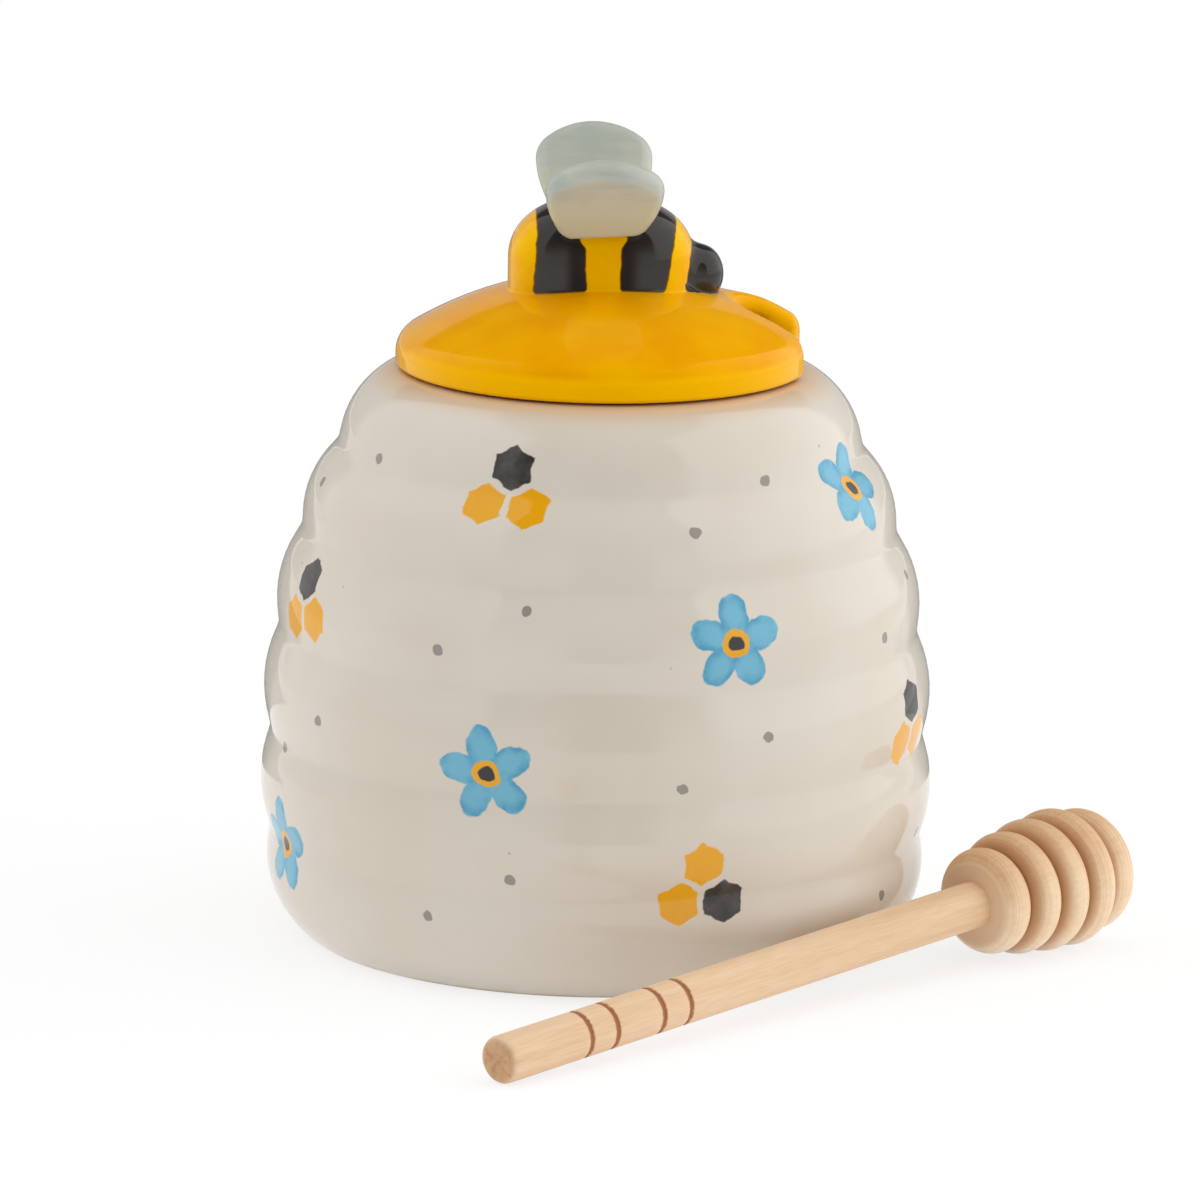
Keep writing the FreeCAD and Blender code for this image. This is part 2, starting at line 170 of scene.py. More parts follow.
class JarSettings(PropertyGroup):
    radius: size("Radius", "Jar's radius at its widest rib", 57.5)
    height: size("Height", "Floor to rim", 98.3)
    wall: size("Wall", "Wall at the grooves of the widest ribs", 4.2)
    foot_ring: size("Foot ring", "Width of the ring that the jar stands on", 5.2)
    recess_depth: size("Recess depth", "Depth of the hollow inside the foot ring", 2.5)
    recess_slope: size("Recess slope", "How far the hollow narrows on the way up", 1.8)
    floor: size("Floor", "Thickness of the jar's floor", 4.0)
    mouth: size("Mouth", "Radius of the mouth", 31.0)
    rim: size("Rim", "Width of the rim that the lid rests on", 4.1)
    throat: size("Throat", "Straight part below the rim", 8.0)
    softness: size("Softness", "How far the glaze rounds grooves and edges", 1.2)
    print_start: size("Print start", "Foot to the first row of the print", 9.0)
    print_pitch: size("Print pitch", "Row to row of the print", 22.5)
    glaze: colour("Glaze", "Off-white glaze", 222, 213, 200)
    glaze_thin: colour("Thin glaze", "Glaze where it has run thin", 215, 204, 188)
    # Painted reflection of the yellow lid and painted shade under it, at the jar's rim
    rim_painted_light: colour("Rim glaze", "Honey-coloured glaze at the rim", 214, 160, 84)
    biscuit: colour("Biscuit", "Bare clay of the foot ring", 214, 199, 176)
    blue: colour("Blue", "Sky-blue of the print", 112, 182, 208)
    deep_blue: colour("Deep blue", "Blue where the wash has dried darker", 70, 152, 190)
    yellow: colour("Yellow", "Yellow of the print", 236, 168, 12)
    black: colour("Black", "Soft black of the print", 44, 41, 39)
    grey: colour("Grey", "Grey of the dots", 152, 145, 137)


class LidSettings(PropertyGroup):
    seat: size("Seat", "Height of the lid's seat", 98.6)
    rise: size("Rise", "Seat to the top of the dome", 15.4)
    dome: size("Dome", "Radius of the dome", 64.0)
    wall: size("Wall", "Thickness of the dome", 4.6)
    radius: size("Radius", "Radius of the lid", 35.1)
    edge_round: size("Edge round", "Round below the lid's widest line", 0.8)
    shoulder_round: size("Shoulder round", "Round above the lid's widest line", 1.9)
    collar_outside: size("Collar outside", "Outer radius of the collar", 30.3)
    collar_inside: size("Collar inside", "Inner radius of the collar", 26.7)
    collar_depth: size("Collar depth", "Seat to the collar's free edge", 6.5)
    notch_start: size("Notch start", "Axis to the notch's inner end", 22.0)
    notch_width: size("Notch width", "Width at the inner end", 11.2)
    notch_mouth: size("Notch mouth", "Width where the corners start to round", 13.2)
    notch_near: size("Near edge", "Round along the near side of the notch", 0.45)
    notch_far: size("Far edge", "Round along the far side of the notch", 2.6)
    lip: size("Lip", "How far the far side of the notch is pushed up", 1.6)
    near_lip: size("Near lip", "How far the near side of the notch is pushed up", 0.4)
    lean: size("Lean", "How far the dome's middle stands towards the notch", 0.6)
    glaze: colour("Glaze", "Egg-yolk yellow glaze", 246, 177, 0)
    glaze_deep: colour("Deep glaze", "Yellow where the glaze lies thick", 238, 158, 0)
    # Painted light: the lighter band where the lid's side catches the light
    rim_painted_light: colour("Rim glaze", "Lighter yellow where the glaze runs thin round the edge", 250, 184, 0)
    sheen: colour("Sheen", "Colour that the yellow glaze gives to what it mirrors", 255, 205, 0)
    biscuit: colour("Biscuit", "Bare clay of the seat", 214, 199, 176)


class BeeSettings(PropertyGroup):
    length: size("Length", "Bee's body from end to end", 31.6)
    width: size("Width", "Bee's body across", 20.8)
    side_height: size("Side height", "Top of the dome to the widest level", 2.8)
    crown: size("Crown", "Widest level to the top of the back", 11.0)
    shift: size("Shift", "Along X from the lid's axis", -0.4)
    turn: angle("Turn", "Head towards +Y", 3.5)
    head_reach: size("Head reach", "Middle of the bee to the middle of the head", 16.7)
    head_rise: size("Head rise", "Top of the dome to the middle of the head", 0.4)
    head_length: size("Head length", "Head along the bee", 8.2)
    head_width: size("Head width", "Head across", 9.0)
    head_height: size("Head height", "Head from bottom to top", 10.0)
    fillet: size("Fillet", "Glaze in the corner where pieces meet", 0.7)
    neck: size("Neck", "Clay smoothed over the corner between body and head", 2.4)
    band_foot: size("Band foot", "Lid to the lower end of the black bands", 0.1)
    yellow: colour("Yellow", "Yellow bands", 252, 194, 0)
    deep_yellow: colour("Deep yellow", "Yellow where the glaze lies thick", 244, 172, 0)
    black: colour("Black", "Black bands and head", 34, 31, 29)
    brown_black: colour("Brown black", "Black where the glaze is thin", 50, 44, 39)
    brown: colour("Brown", "Fringe where black has run into yellow", 120, 76, 10)


class WingSettings(PropertyGroup):
    width: size("Width", "Wing along the bee", 19.9)
    thickness: size("Thickness", "Wing's thickness", 4.4)
    edge_round: size("Edge round", "Round along the edge", 2.15)
    shoulder: size("Shoulder", "Radius at the outer corners", 6.2)
    side: size("Side", "Radius of the long sides", 22.1)
    corner: size("Corner", "Radius at the root's corners", 2.6)
    taper: angle("Taper", "How far the sides close in towards the root", 26.0)
    splay: angle("Splay", "Lean from upright", 41.0)
    root_spread: size("Root spread", "Bee's middle plane to the root", 8.5)
    root_rise: size("Root rise", "Top of the dome to the root", 8.3)
    shift: size("Shift", "Along the bee", -0.5)
    root_lowest: size("Root lowest", "Lowest spot of the root along the wing", -3.0)
    glaze: colour("Glaze", "Pale grey glaze", 174, 182, 172)
    glaze_thin: colour("Thin glaze", "Glaze brushed thin", 188, 191, 178)
    # Painted bounce light: the yellow that the bee and lid throw onto the wings' lower parts
    root_painted_bounce: colour("Root glaze", "Warmer glaze towards the root", 197, 198, 176)


class DipperSettings(PropertyGroup):
    handle: size("Handle", "Diameter of the dowel", 8.0)
    reach: size("Reach", "Free end to the head's face", 114.8)
    end_round: size("End round", "Round of the free end", 1.5)
    burnt_width: size("Burnt line", "Width of a burnt line", 0.9)
    burnt_depth: size("Burnt depth", "Depth of a burnt line", 0.35)
    ring_radius: size("Ring radius", "Widest ring of the head", 11.9)
    ring_pitch: size("Ring pitch", "Groove to groove", 6.2)
    groove_depth: size("Groove depth", "Depth between rings", 2.9)
    end_rise: size("End rise", "Dome of the far end", 1.2)
    bearing: angle("Bearing", "Direction from +X in plan", 45.9)
    distance: size("Distance", "Jar's axis to the dipper's line", 61.9)
    run: size("Run", "Free end to the point nearest the jar", 85.9)
    wood: colour("Wood", "Sanded pale wood", 236, 203, 166)
    grain: colour("Grain", "Darker fibres of the grain", 216, 172, 126)
    end_grain: colour("End grain", "Sawn end of the handle", 210, 168, 126)
    pith: colour("Pith", "Middle of the sawn end", 182, 132, 88)
    head_wood: colour("Head wood", "Wood of the turned head", 249, 221, 184)
    # Browner where the head's surface faces up, in patches, and along its lines and fibres
    head_grain: colour("Head grain", "Browner wood on top of the head", 208, 158, 108)
    face: colour("Face", "Cut face of the head round the handle", 230, 196, 162)
    # Painted light: the paler underside stands in for the white floor's bounce light
    pale: colour("Pale", "Paler wood under the head", 255, 238, 216)
    groove: colour("Groove", "Scorched wood in the grooves", 190, 136, 88)
    burnt: colour("Burnt", "Scorched lines", 174, 110, 62)


class StageSettings(PropertyGroup):
    distance: amount("Distance", "Camera to the jar's axis", 1.65, unit="LENGTH")
    height: amount("Height", "Camera above the floor", 0.4204, unit="LENGTH")
    pitch: angle("Pitch", "Camera's look down", 12.4016)
    roll: angle("Roll", "Camera's roll", 0.9016)
    offset: size("Offset", "Camera to the right of the jar's axis", 0.3)
    lens: amount("Lens", "Focal length", 296.77, unit="CAMERA")
    right_power: amount("Right panel", "Light from the right", 10.5, unit="POWER")
    left_power: amount("Left panel", "Light from the left", 6.9, unit="POWER")
    top_power: amount("Top panel", "Light from above", 5.0, unit="POWER")
    room: amount("Room", "Even light from all round", 0.38, min=0)
    walls: amount("Walls", "How bright the foot of the studio's walls looks", 0.8, min=0)
    dimmed: amount("Dimmed", "How much darker the camera's side looks in the glaze", 0.85, min=0, max=1)
    ceiling: amount("Ceiling", "How bright the studio's ceiling looks", 0.07, min=0)
    cloth: amount("Cloth", "How bright the table behind looks in the glaze", 0.45, min=0)


class HoneyPotSettings(PropertyGroup):
    jar: PointerProperty(type=JarSettings)
    lid: PointerProperty(type=LidSettings)
    bee: PointerProperty(type=BeeSettings)
    wing: PointerProperty(type=WingSettings)
    dipper: PointerProperty(type=DipperSettings)
    stage: PointerProperty(type=StageSettings)


# Node trees

class Value:
    """A number that nodes work out: its sums, products and the like add more nodes."""

    def __init__(self, bench, socket):
        self.bench = bench
        self.socket = socket

    def __add__(self, other):
        return self.bench.math("ADD", self, other)

    def __sub__(self, other):
        return self.bench.math("SUBTRACT", self, other)

    def __rsub__(self, other):
        return self.bench.math("SUBTRACT", other, self)

    def __mul__(self, other):
        return self.bench.math("MULTIPLY", self, other)

    def __truediv__(self, other):
        return self.bench.math("DIVIDE", self, other)

    def __abs__(self):
        return self.bench.math("ABSOLUTE", self)

    def __round__(self):
        return self.bench.math("ROUND", self)

    def __floor__(self):
        return self.bench.math("FLOOR", self)


class Bench:
    """Adds nodes to one tree and joins them."""

    def __init__(self, tree):
        self.tree = tree

    def add(self, kind, inputs=None, **settings):
        node = self.tree.nodes.new(kind)
        for name, value in settings.items():
            setattr(node, name, value)
        for key, value in (inputs or {}).items():
            self.feed(node.inputs[key], value)
        return node

    def feed(self, socket, value):
        if isinstance(value, Value):
            value = value.socket
        if isinstance(value, bpy.types.NodeSocket):
            self.tree.links.new(value, socket)
        else:
            socket.default_value = value

    def number(self, kind, inputs, output=0, **settings):
        return Value(self, self.add(kind, inputs, **settings).outputs[output])

    def math(self, operation, *values):
        return self.number("ShaderNodeMath", dict(enumerate(values)), operation=operation)

    def least(self, values):
        lowest, *others = values
        for value in others:
            lowest = self.math("MINIMUM", lowest, value)
        return lowest

    def vector(self, operation, *values):
        return self.add("ShaderNodeVectorMath", dict(enumerate(values)), operation=operation).outputs[0]

    def length(self, vector):
        return self.number("ShaderNodeVectorMath", {0: vector}, "Value", operation="LENGTH")

    def span(self, x, y):
        return self.length(self.joined(x, y))

    def parts(self, vector):
        return [Value(self, part) for part in self.add("ShaderNodeSeparateXYZ", {0: vector}).outputs]

    def joined(self, x, y, z=0.0):
        return self.add("ShaderNodeCombineXYZ", {0: x, 1: y, 2: z}).outputs[0]

    def step(self, value, low, high, first=0.0, last=1.0):
        """Smooth change from first to last while the value goes from low to high."""
        inputs = {0: value, 1: low, 2: high, 3: first, 4: last}
        return self.number("ShaderNodeMapRange", inputs, interpolation_type="SMOOTHSTEP")

    def inked(self, value, edge, soft):
        """1 where the value is below an edge, soft by so much on both sides of it."""
        return self.step(value, edge + soft, edge - soft)

    def blend(self, share, first, second):
        return self.number("ShaderNodeMix", {0: share, 2: first, 3: second}, data_type="FLOAT")

    def mix(self, share, *colours):
        """One colour where the share is 0 and the other where it is 1."""
        first, second = (it if isinstance(it, bpy.types.NodeSocket) else (*it, 1) for it in colours)
        return self.add("ShaderNodeMix", {0: share, 6: first, 7: second}, data_type="RGBA").outputs[2]

    def noise(self, vector, scale, detail=2.0, roughness=0.5):
        """Noise of one scale, or of three that stretch it."""
        if isinstance(scale, tuple):
            vector = self.add("ShaderNodeMapping", {"Vector": vector, "Scale": scale}).outputs[0]
            scale = 1.0
        inputs = {"Vector": vector, "Scale": scale, "Detail": detail, "Roughness": roughness}
        return self.number("ShaderNodeTexNoise", inputs, "Fac")

    def spot(self):
        return self.add("ShaderNodeTexCoord").outputs["Object"]

    def placed(self, vector, place, turn):
        """Coordinates in the frame of a piece that stands at a place and is turned."""
        inputs = {"Vector": vector, "Location": place, "Rotation": turn}
        return self.add("ShaderNodeMapping", inputs, vector_type="TEXTURE").outputs[0]


def new_finish(name, roughness):
    """Material with a plain surface shader, and its bench."""
    material = bpy.data.materials.new(name)
    material.use_nodes = True
    bench = Bench(material.node_tree)
    surface = next(node for node in material.node_tree.nodes if node.type == "BSDF_PRINCIPLED")
    surface.inputs["Roughness"].default_value = roughness
    return material, bench, surface


def add_bump(bench, surface, height, strength, distance):
    bump = bench.add("ShaderNodeBump", {"Height": height, "Strength": strength, "Distance": distance})
    bench.feed(surface.inputs["Normal"], bump.outputs[0])


def turned_tree():
    """Geometry nodes that turn an outline about its axis, as a lathe or a wheel does."""
    tree = bpy.data.node_groups.get("Turned form")
    if tree:
        return tree
    tree = bpy.data.node_groups.new("Turned form", "GeometryNodeTree")
    for name, kind in (("Outline", "Geometry"), ("Sides", "Int"), ("Turn", "Vector"), ("Place", "Vector"),
                       ("Finish", "Material")):
        tree.interface.new_socket(name, in_out="INPUT", socket_type=f"NodeSocket{kind}")
    tree.interface.new_socket("Piece", in_out="OUTPUT", socket_type="NodeSocketGeometry")
    bench = Bench(tree)
    given = bench.add("NodeGroupInput").outputs
    count = bench.number("GeometryNodeAttributeDomainSize", {0: given["Outline"]}, "Point Count")
    columns = bench.math("ADD", given["Sides"], 1.0)
    grid = bench.add("GeometryNodeMeshGrid", {"Size X": 1.0, "Size Y": 1.0, "Vertices X": columns,
                                              "Vertices Y": count}).outputs
    around, along, _ = bench.parts(grid["UV Map"])
    row = round(along * (count - 1.0))
    spot = bench.add("GeometryNodeSampleIndex", data_type="FLOAT_VECTOR")
    run = bench.add("GeometryNodeSampleIndex", data_type="FLOAT")
    stored = bench.add("GeometryNodeInputNamedAttribute", {"Name": "run"}, data_type="FLOAT")
    for node, value in ((spot, bench.add("GeometryNodeInputPosition").outputs[0]), (run, stored.outputs[0])):
        bench.feed(node.inputs["Geometry"], given["Outline"])
        bench.feed(node.inputs["Value"], value)
        bench.feed(node.inputs["Index"], row)
    radius, _, height = bench.parts(spot.outputs[0])
    bearing = around * math.tau
    place = bench.joined(radius * bench.math("COSINE", bearing), radius * bench.math("SINE", bearing), height)
    turned = bench.add("GeometryNodeSetPosition", {"Geometry": grid["Mesh"], "Position": place})
    mapped = bench.add("GeometryNodeStoreNamedAttribute", data_type="FLOAT2", domain="CORNER")
    bench.feed(mapped.inputs["Geometry"], turned.outputs[0])
    bench.feed(mapped.inputs["Name"], "turned")
    bench.feed(mapped.inputs["Value"], bench.joined(around, run.outputs[0]))
    closed = bench.add("GeometryNodeMergeByDistance", {"Geometry": mapped.outputs[0], "Distance": 1e-6})
    smooth = bench.add("GeometryNodeSetShadeSmooth", {"Geometry": closed.outputs[0]})
    laid = bench.add("GeometryNodeTransform", {"Geometry": smooth.outputs[0]})
    bench.feed(laid.inputs["Translation"], given["Place"])
    bench.feed(laid.inputs["Rotation"], given["Turn"])
    real = bench.add("GeometryNodeRealizeInstances", {"Geometry": laid.outputs[0]})
    painted = {"Geometry": real.outputs[0], "Material": given["Finish"]}
    finished = bench.add("GeometryNodeSetMaterial", painted)
    bench.add("NodeGroupOutput", {0: finished.outputs[0]})
    return tree


# Outlines

def bowed(start, end, rise, step=0.1 * MM):
    """Points of an arc from start to end that rises to the right of the way, end left out."""
    start, end = np.array(start), np.array(end)
    chord = end - start
    span = np.hypot(*chord)
    count = max(2, int(span / step))
    share = np.arange(count) / count
    if abs(rise) < 1e-9:
        return start + share[:, None] * chord
    half_turn = 2 * math.atan(2 * rise / span)
    radius = span / (2 * math.sin(half_turn))
    way = chord / span
    right = np.array([way[1], -way[0]])
    swing = half_turn * (2 * share - 1)
    along = radius * np.sin(swing)
    out = radius * (np.cos(swing) - math.cos(half_turn))
    return (start + end) / 2 + along[:, None] * way + out[:, None] * right


def outline_through(corners, rises):
    """Fine polyline through corners, with the rise of the arc between each two."""
    runs = [bowed(a, b, rise) for a, b, rise in zip(corners, corners[1:], rises)]
    return np.vstack(runs + [np.array(corners[-1:])])


def softened(points, width):
    """The polyline with its corners rounded over about this width, its ends kept."""
    gaps = np.hypot(*np.diff(points, axis=0).T)
    run = np.concatenate([[0], np.cumsum(gaps)])
    step = width / 8
    even = np.linspace(0, run[-1], int(run[-1] / step) + 1)
    line = np.stack([np.interp(even, run, points[:, axis]) for axis in (0, 1)], axis=1)
    reach = 32
    weights = np.exp(-0.5 * (np.arange(-reach, reach + 1) * step / width) ** 2)
    weights /= weights.sum()
    before = 2 * line[0] - line[reach:0:-1]
    after = 2 * line[-1] - line[-2:-reach - 2:-1]
    padded = np.vstack([before, line, after])
    return np.stack([np.convolve(padded[:, axis], weights, "valid") for axis in (0, 1)], axis=1)


def thinned(points, turn=math.radians(5), reach=2.5 * MM):
    """Fewer points: close together where the line bends, and never further apart than reach."""
    kept = [0]
    way = points[1] - points[0]
    for index in range(1, len(points) - 1):
        ahead = points[index + 1] - points[index]
        bend = abs(math.atan2(way[0] * ahead[1] - way[1] * ahead[0], way @ ahead))
        if bend > turn or np.hypot(*(points[index] - points[kept[-1]])) > reach:
            kept.append(index)
            way = ahead
    return points[kept + [len(points) - 1]]


def jar_outline(jar):
    """Outline from under the foot over the rim to the middle of the floor, and its run to the foot."""
    ribs = [(jar.radius * r, jar.height * h) for r, h in zip(GROOVE_RADIUS_SHARES, GROOVE_HEIGHT_SHARES)]
    ribs.append((jar.mouth + jar.rim, jar.height))
    recess = ribs[0][0] - jar.foot_ring
    floor_top = jar.recess_depth + jar.floor
    below = [(0, jar.recess_depth), (recess - jar.recess_slope, jar.recess_depth), (recess, 0)]
    belly = (jar.radius * max(GROOVE_RADIUS_SHARES) - jar.wall, jar.height * CHAMBER_BELLY_SHARE)
    inside = [(jar.mouth, jar.height), (jar.mouth, jar.height - jar.throat), belly,
              (jar.radius * CHAMBER_FLOOR_SHARE, floor_top), (0, floor_top)]
    rises = [0, 0, 0] + [jar.radius * share for share in RIB_BULGE_SHARES] + [0, 0]
    rises += [-jar.radius * SHOULDER_BULGE_SHARE, -jar.radius * BASIN_BULGE_SHARE, 0]
    outline = softened(outline_through(below + ribs + inside, rises), jar.softness)
    outline[:, 1] = np.maximum(outline[:, 1], 0)
    foot = sum(math.dist(a, b) for a, b in zip(below, below[1:] + ribs[:1]))
    return thinned(outline), foot


def handle_outline(dipper):
    """Outline of the dowel from its rounded free end into the head, with its burnt lines."""
    radius = dipper.handle / 2
    corners = [(0, 0), (radius - dipper.end_round, 0), (radius, dipper.end_round)]
    rises = [0, dipper.end_round * (1 - math.sqrt(0.5))]
    for share in BURNT_LINE_SHARES:
        middle = dipper.reach * share
        corners += [(radius, middle - dipper.burnt_width / 2), (radius, middle + dipper.burnt_width / 2)]
        rises += [0, -dipper.burnt_depth]
    hidden_end = dipper.reach + 2 * MM
    corners += [(radius, hidden_end), (0, hidden_end)]
    rises += [0, 0]
    return thinned(softened(outline_through(corners, rises), HANDLE_SOFTNESS))


def rings_outline(dipper):
    """Outline of the head from its face round the handle over its rings to the domed far end."""
    radii = [dipper.ring_radius * share for share in RING_RADIUS_SHARES]
    start = dipper.reach
    corners = [(0, start), (radii[0] * FACE_FLAT_SHARE, start)]
    rises = [0]
    for ring in range(1, len(radii)):
        floor = (radii[ring] + radii[ring - 1]) / 2 - dipper.groove_depth
        rises.append(radii[ring - 1] - (corners[-1][0] + floor) / 2)
        corners.append((floor, start + dipper.ring_pitch * ring))
    end = start + dipper.ring_pitch * len(radii)
    flat = radii[-1] * END_FLAT_SHARE
    end_bow = 0.3 * MM
    rises += [radii[-1] - (corners[-1][0] + flat) / 2, end_bow]
    corners += [(flat, end), (0, end + dipper.end_rise)]
    return thinned(softened(outline_through(corners, rises), RING_SOFTNESS))


# Pieces

def link(name, data):
    piece = bpy.data.objects.new(name, data)
    bpy.context.scene.collection.objects.link(piece)
    return piece


def finish_piece(piece, body, node):
    """Hand a finished piece to the frame in place of its solid."""
    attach(piece, body)
    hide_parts(node)


def turned_piece(name, outline, sides, material, turn=(0, 0, 0), place=(0, 0, 0)):
    """A piece turned from an outline of radii and heights."""
    run = np.concatenate([[0], np.cumsum(np.hypot(*np.diff(outline, axis=0).T))])
    mesh = bpy.data.meshes.new(name)
    mesh.from_pydata([(radius, 0, height) for radius, height in outline], [], [])
    mesh.attributes.new("run", "FLOAT", "POINT").data.foreach_set("value", run.astype(np.float32))
    piece = link(name, mesh)
    modifier = piece.modifiers.new("Turned form", "NODES")
    modifier.node_group = turned_tree()
    names = {item.name: item.identifier for item in modifier.node_group.interface.items_tree}
    for label, value in (("Sides", sides), ("Turn", turn), ("Place", place), ("Finish", material)):
        modifier[names[label]] = value
    graph = bpy.context.evaluated_depsgraph_get()
    made = bpy.data.meshes.new_from_object(piece.evaluated_get(graph), depsgraph=graph)
    if not made.polygons:
        raise RuntimeError(f"{name} came out empty")
    piece.modifiers.clear()
    piece.data = made
    made.name = name
    bpy.data.meshes.remove(mesh)
    return piece


def slope(field, points, reach=0.002 * MM):
    """Direction in which a field of distances grows, at each point."""
    ways = np.eye(3) * reach
    return np.stack([field(points + way) - field(points - way) for way in ways], axis=1) / (2 * reach)


def settled(field, points, limit, rounds=3):
    """Points moved onto the surface where the field is zero."""
    for _ in range(rounds):
        way = slope(field, points)
        move = -(field(points) / np.maximum((way ** 2).sum(axis=1), 1e-6))[:, None] * way
        far = np.maximum(np.linalg.norm(move, axis=1) / limit, 1)
        points = points + move / far[:, None]
    return points


def clay_on_grid(field, low, counts, step, block=4):
    """Which points of a grid lie in the clay, worked out closely only in blocks near its surface."""
    edges = [a + step * (np.arange(0, count, block) + (block - 1) / 2) for a, count in zip(low, counts)]
    centres = np.stack(np.meshgrid(*edges, indexing="ij"), axis=-1)
    value = field(centres.reshape(-1, 3)).reshape(centres.shape[:3])
    fine = np.kron(value, np.ones((block,) * 3))[tuple(slice(count) for count in counts)]
    inside = fine < 0
    near = np.argwhere(np.abs(fine) < 1.5 * block * step)
    inside[tuple(near.T)] = field(low + near * step) < 0
    return inside


def skin_of(inside):
    """Cells of a grid that the clay's surface runs through, and a face across each grid line that it cuts."""
    halves = (slice(0, -1), slice(1, None))
    full = sum(inside[ways].astype(int) for ways in itertools.product(halves, repeat=3))
    mixed = (full > 0) & (full < 8)
    number = np.full(mixed.shape, -1)
    number[mixed] = np.arange(mixed.sum())
    faces = []
    for axis in range(3):
        first, second = (
            inside[tuple(half if a == axis else slice(None) for a in range(3))] for half in halves
        )
        at = np.argwhere(first != second)
        corners = []
        for back, down in ((1, 1), (0, 1), (0, 0), (1, 0)):
            cell = at.copy()
            cell[:, (axis + 1) % 3] -= back
            cell[:, (axis + 2) % 3] -= down
            corners.append(number[tuple(cell.T)])
        quads = np.stack(corners, axis=1)
        leaving = first[tuple(at.T)]
        faces.append(np.where(leaving[:, None], quads, quads[:, ::-1]))
    return np.argwhere(mixed), np.vstack(faces)


def evened(field, points, faces, step):
    """Points spread evenly: each is drawn towards its neighbours and then back onto the surface."""
    ends = np.vstack([faces[:, [i, (i + 1) % 4]] for i in range(4)])
    ends = np.unique(np.sort(ends, axis=1), axis=0)
    start, end = np.concatenate([ends, ends[:, ::-1]]).T
    valence = np.bincount(start, minlength=len(points))[:, None]
    for _ in range(EVENING_ROUNDS):
        total = np.stack([np.bincount(start, points[end, axis], len(points)) for axis in range(3)], axis=1)
        points = settled(field, 0.4 * points + 0.6 * total / valence, step, rounds=1)
    return settled(field, points, step)


def formed_piece(name, field, low, high, step, material):
    """A hand-formed piece: the closed surface where a field of distances is zero."""
    low = np.array(low)
    counts = [int(math.ceil((b - a) / step)) + 1 for a, b in zip(low, high)]
    cells, faces = skin_of(clay_on_grid(field, low, counts, step))
    if not len(cells):
        raise RuntimeError(f"{name} came out empty")
    points = settled(field, low + (cells + 0.5) * step, step)
    points = evened(field, points, faces, step)
    normals = slope(field, points)
    normals /= np.maximum(np.linalg.norm(normals, axis=1), 1e-9)[:, None]
    mesh = bpy.data.meshes.new(name)
    mesh.from_pydata(points.tolist(), [], faces.tolist())
    mesh.shade_smooth()
    mesh.normals_split_custom_set_from_vertices(normals.tolist())
    mesh.materials.append(material)
    return link(name, mesh)


# Fields of distances, negative inside the clay

def rounded_meet(first, second, radius):
    """What lies in both fields, with a round of this radius along the edge between them."""
    corner = np.hypot(np.maximum(radius + first, 0), np.maximum(radius + second, 0))
    return np.minimum(-radius, np.maximum(first, second)) + corner


def filled_join(first, second, reach):
    """What lies in either field, with glaze filling the corner between them over this reach."""
    share = np.clip(0.5 + 0.5 * (second - first) / reach, 0, 1)
    return second * (1 - share) + first * share - reach * share * (1 - share)


def egg(points, middle, halves):
    """An ellipsoid."""
    local = points - middle
    shares = np.linalg.norm(local / halves, axis=1)
    steepness = np.linalg.norm(local / halves ** 2, axis=1)
    return shares * (shares - 1) / np.maximum(steepness, 1e-6)


def loaf(points, halves, plan=2.6, rise=2.2):
    """An egg blunter than an ellipsoid, by powers for its outline from above and for its rise."""
    shares = np.abs(points) / halves
    flat = np.maximum(shares[:, 0] ** plan + shares[:, 1] ** plan, 1e-9)
    reach = np.maximum((flat ** (rise / plan) + shares[:, 2] ** rise) ** (1 / rise), 1e-3)
    steepness = reach[:, None] ** (1 - rise) / halves
    steepness[:, :2] *= flat[:, None] ** (rise / plan - 1) * shares[:, :2] ** (plan - 1)
    steepness[:, 2] *= shares[:, 2] ** (rise - 1)
    return (reach - 1) / np.maximum(np.linalg.norm(steepness, axis=1), 1e-6)


def within(points, polygon):
    """Distance to a closed polygon in the plane, negative inside it."""
    nearest = np.full(len(points), np.inf)
    inside = np.zeros(len(points), bool)
    for start, end in zip(polygon, np.roll(polygon, -1, axis=0)):
        side = end - start
        offset = points - start
        share = np.clip(offset @ side / (side @ side), 0, 1)
        nearest = np.minimum(nearest, ((offset - share[:, None] * side) ** 2).sum(axis=1))
        level = (start[1] > points[:, 1]) != (end[1] > points[:, 1])
        if start[1] != end[1]:
            cross = start[0] + (points[:, 1] - start[1]) / (end[1] - start[1]) * side[0]
            inside ^= level & (points[:, 0] < cross)
    return np.where(inside, -1, 1) * np.sqrt(nearest)


def smooth(value, low, high):
    """Smooth rise from 0 at low to 1 at high."""
    share = np.clip((value - low) / (high - low), 0, 1)
    return share * share * (3 - 2 * share)


def ramp(value, reach):
    """What of the value is above zero, with the bend at zero eased over a reach on both sides."""
    return np.clip(value + reach, 0, 2 * reach) ** 2 / (4 * reach) + np.maximum(value - reach, 0)


def dome_field(lid, points):
    """The ball that the lid's dome is a cap of."""
    centre = np.array([lid.lean, 0, lid.seat + lid.rise - lid.dome])
    return np.linalg.norm(points - centre, axis=1) - lid.dome


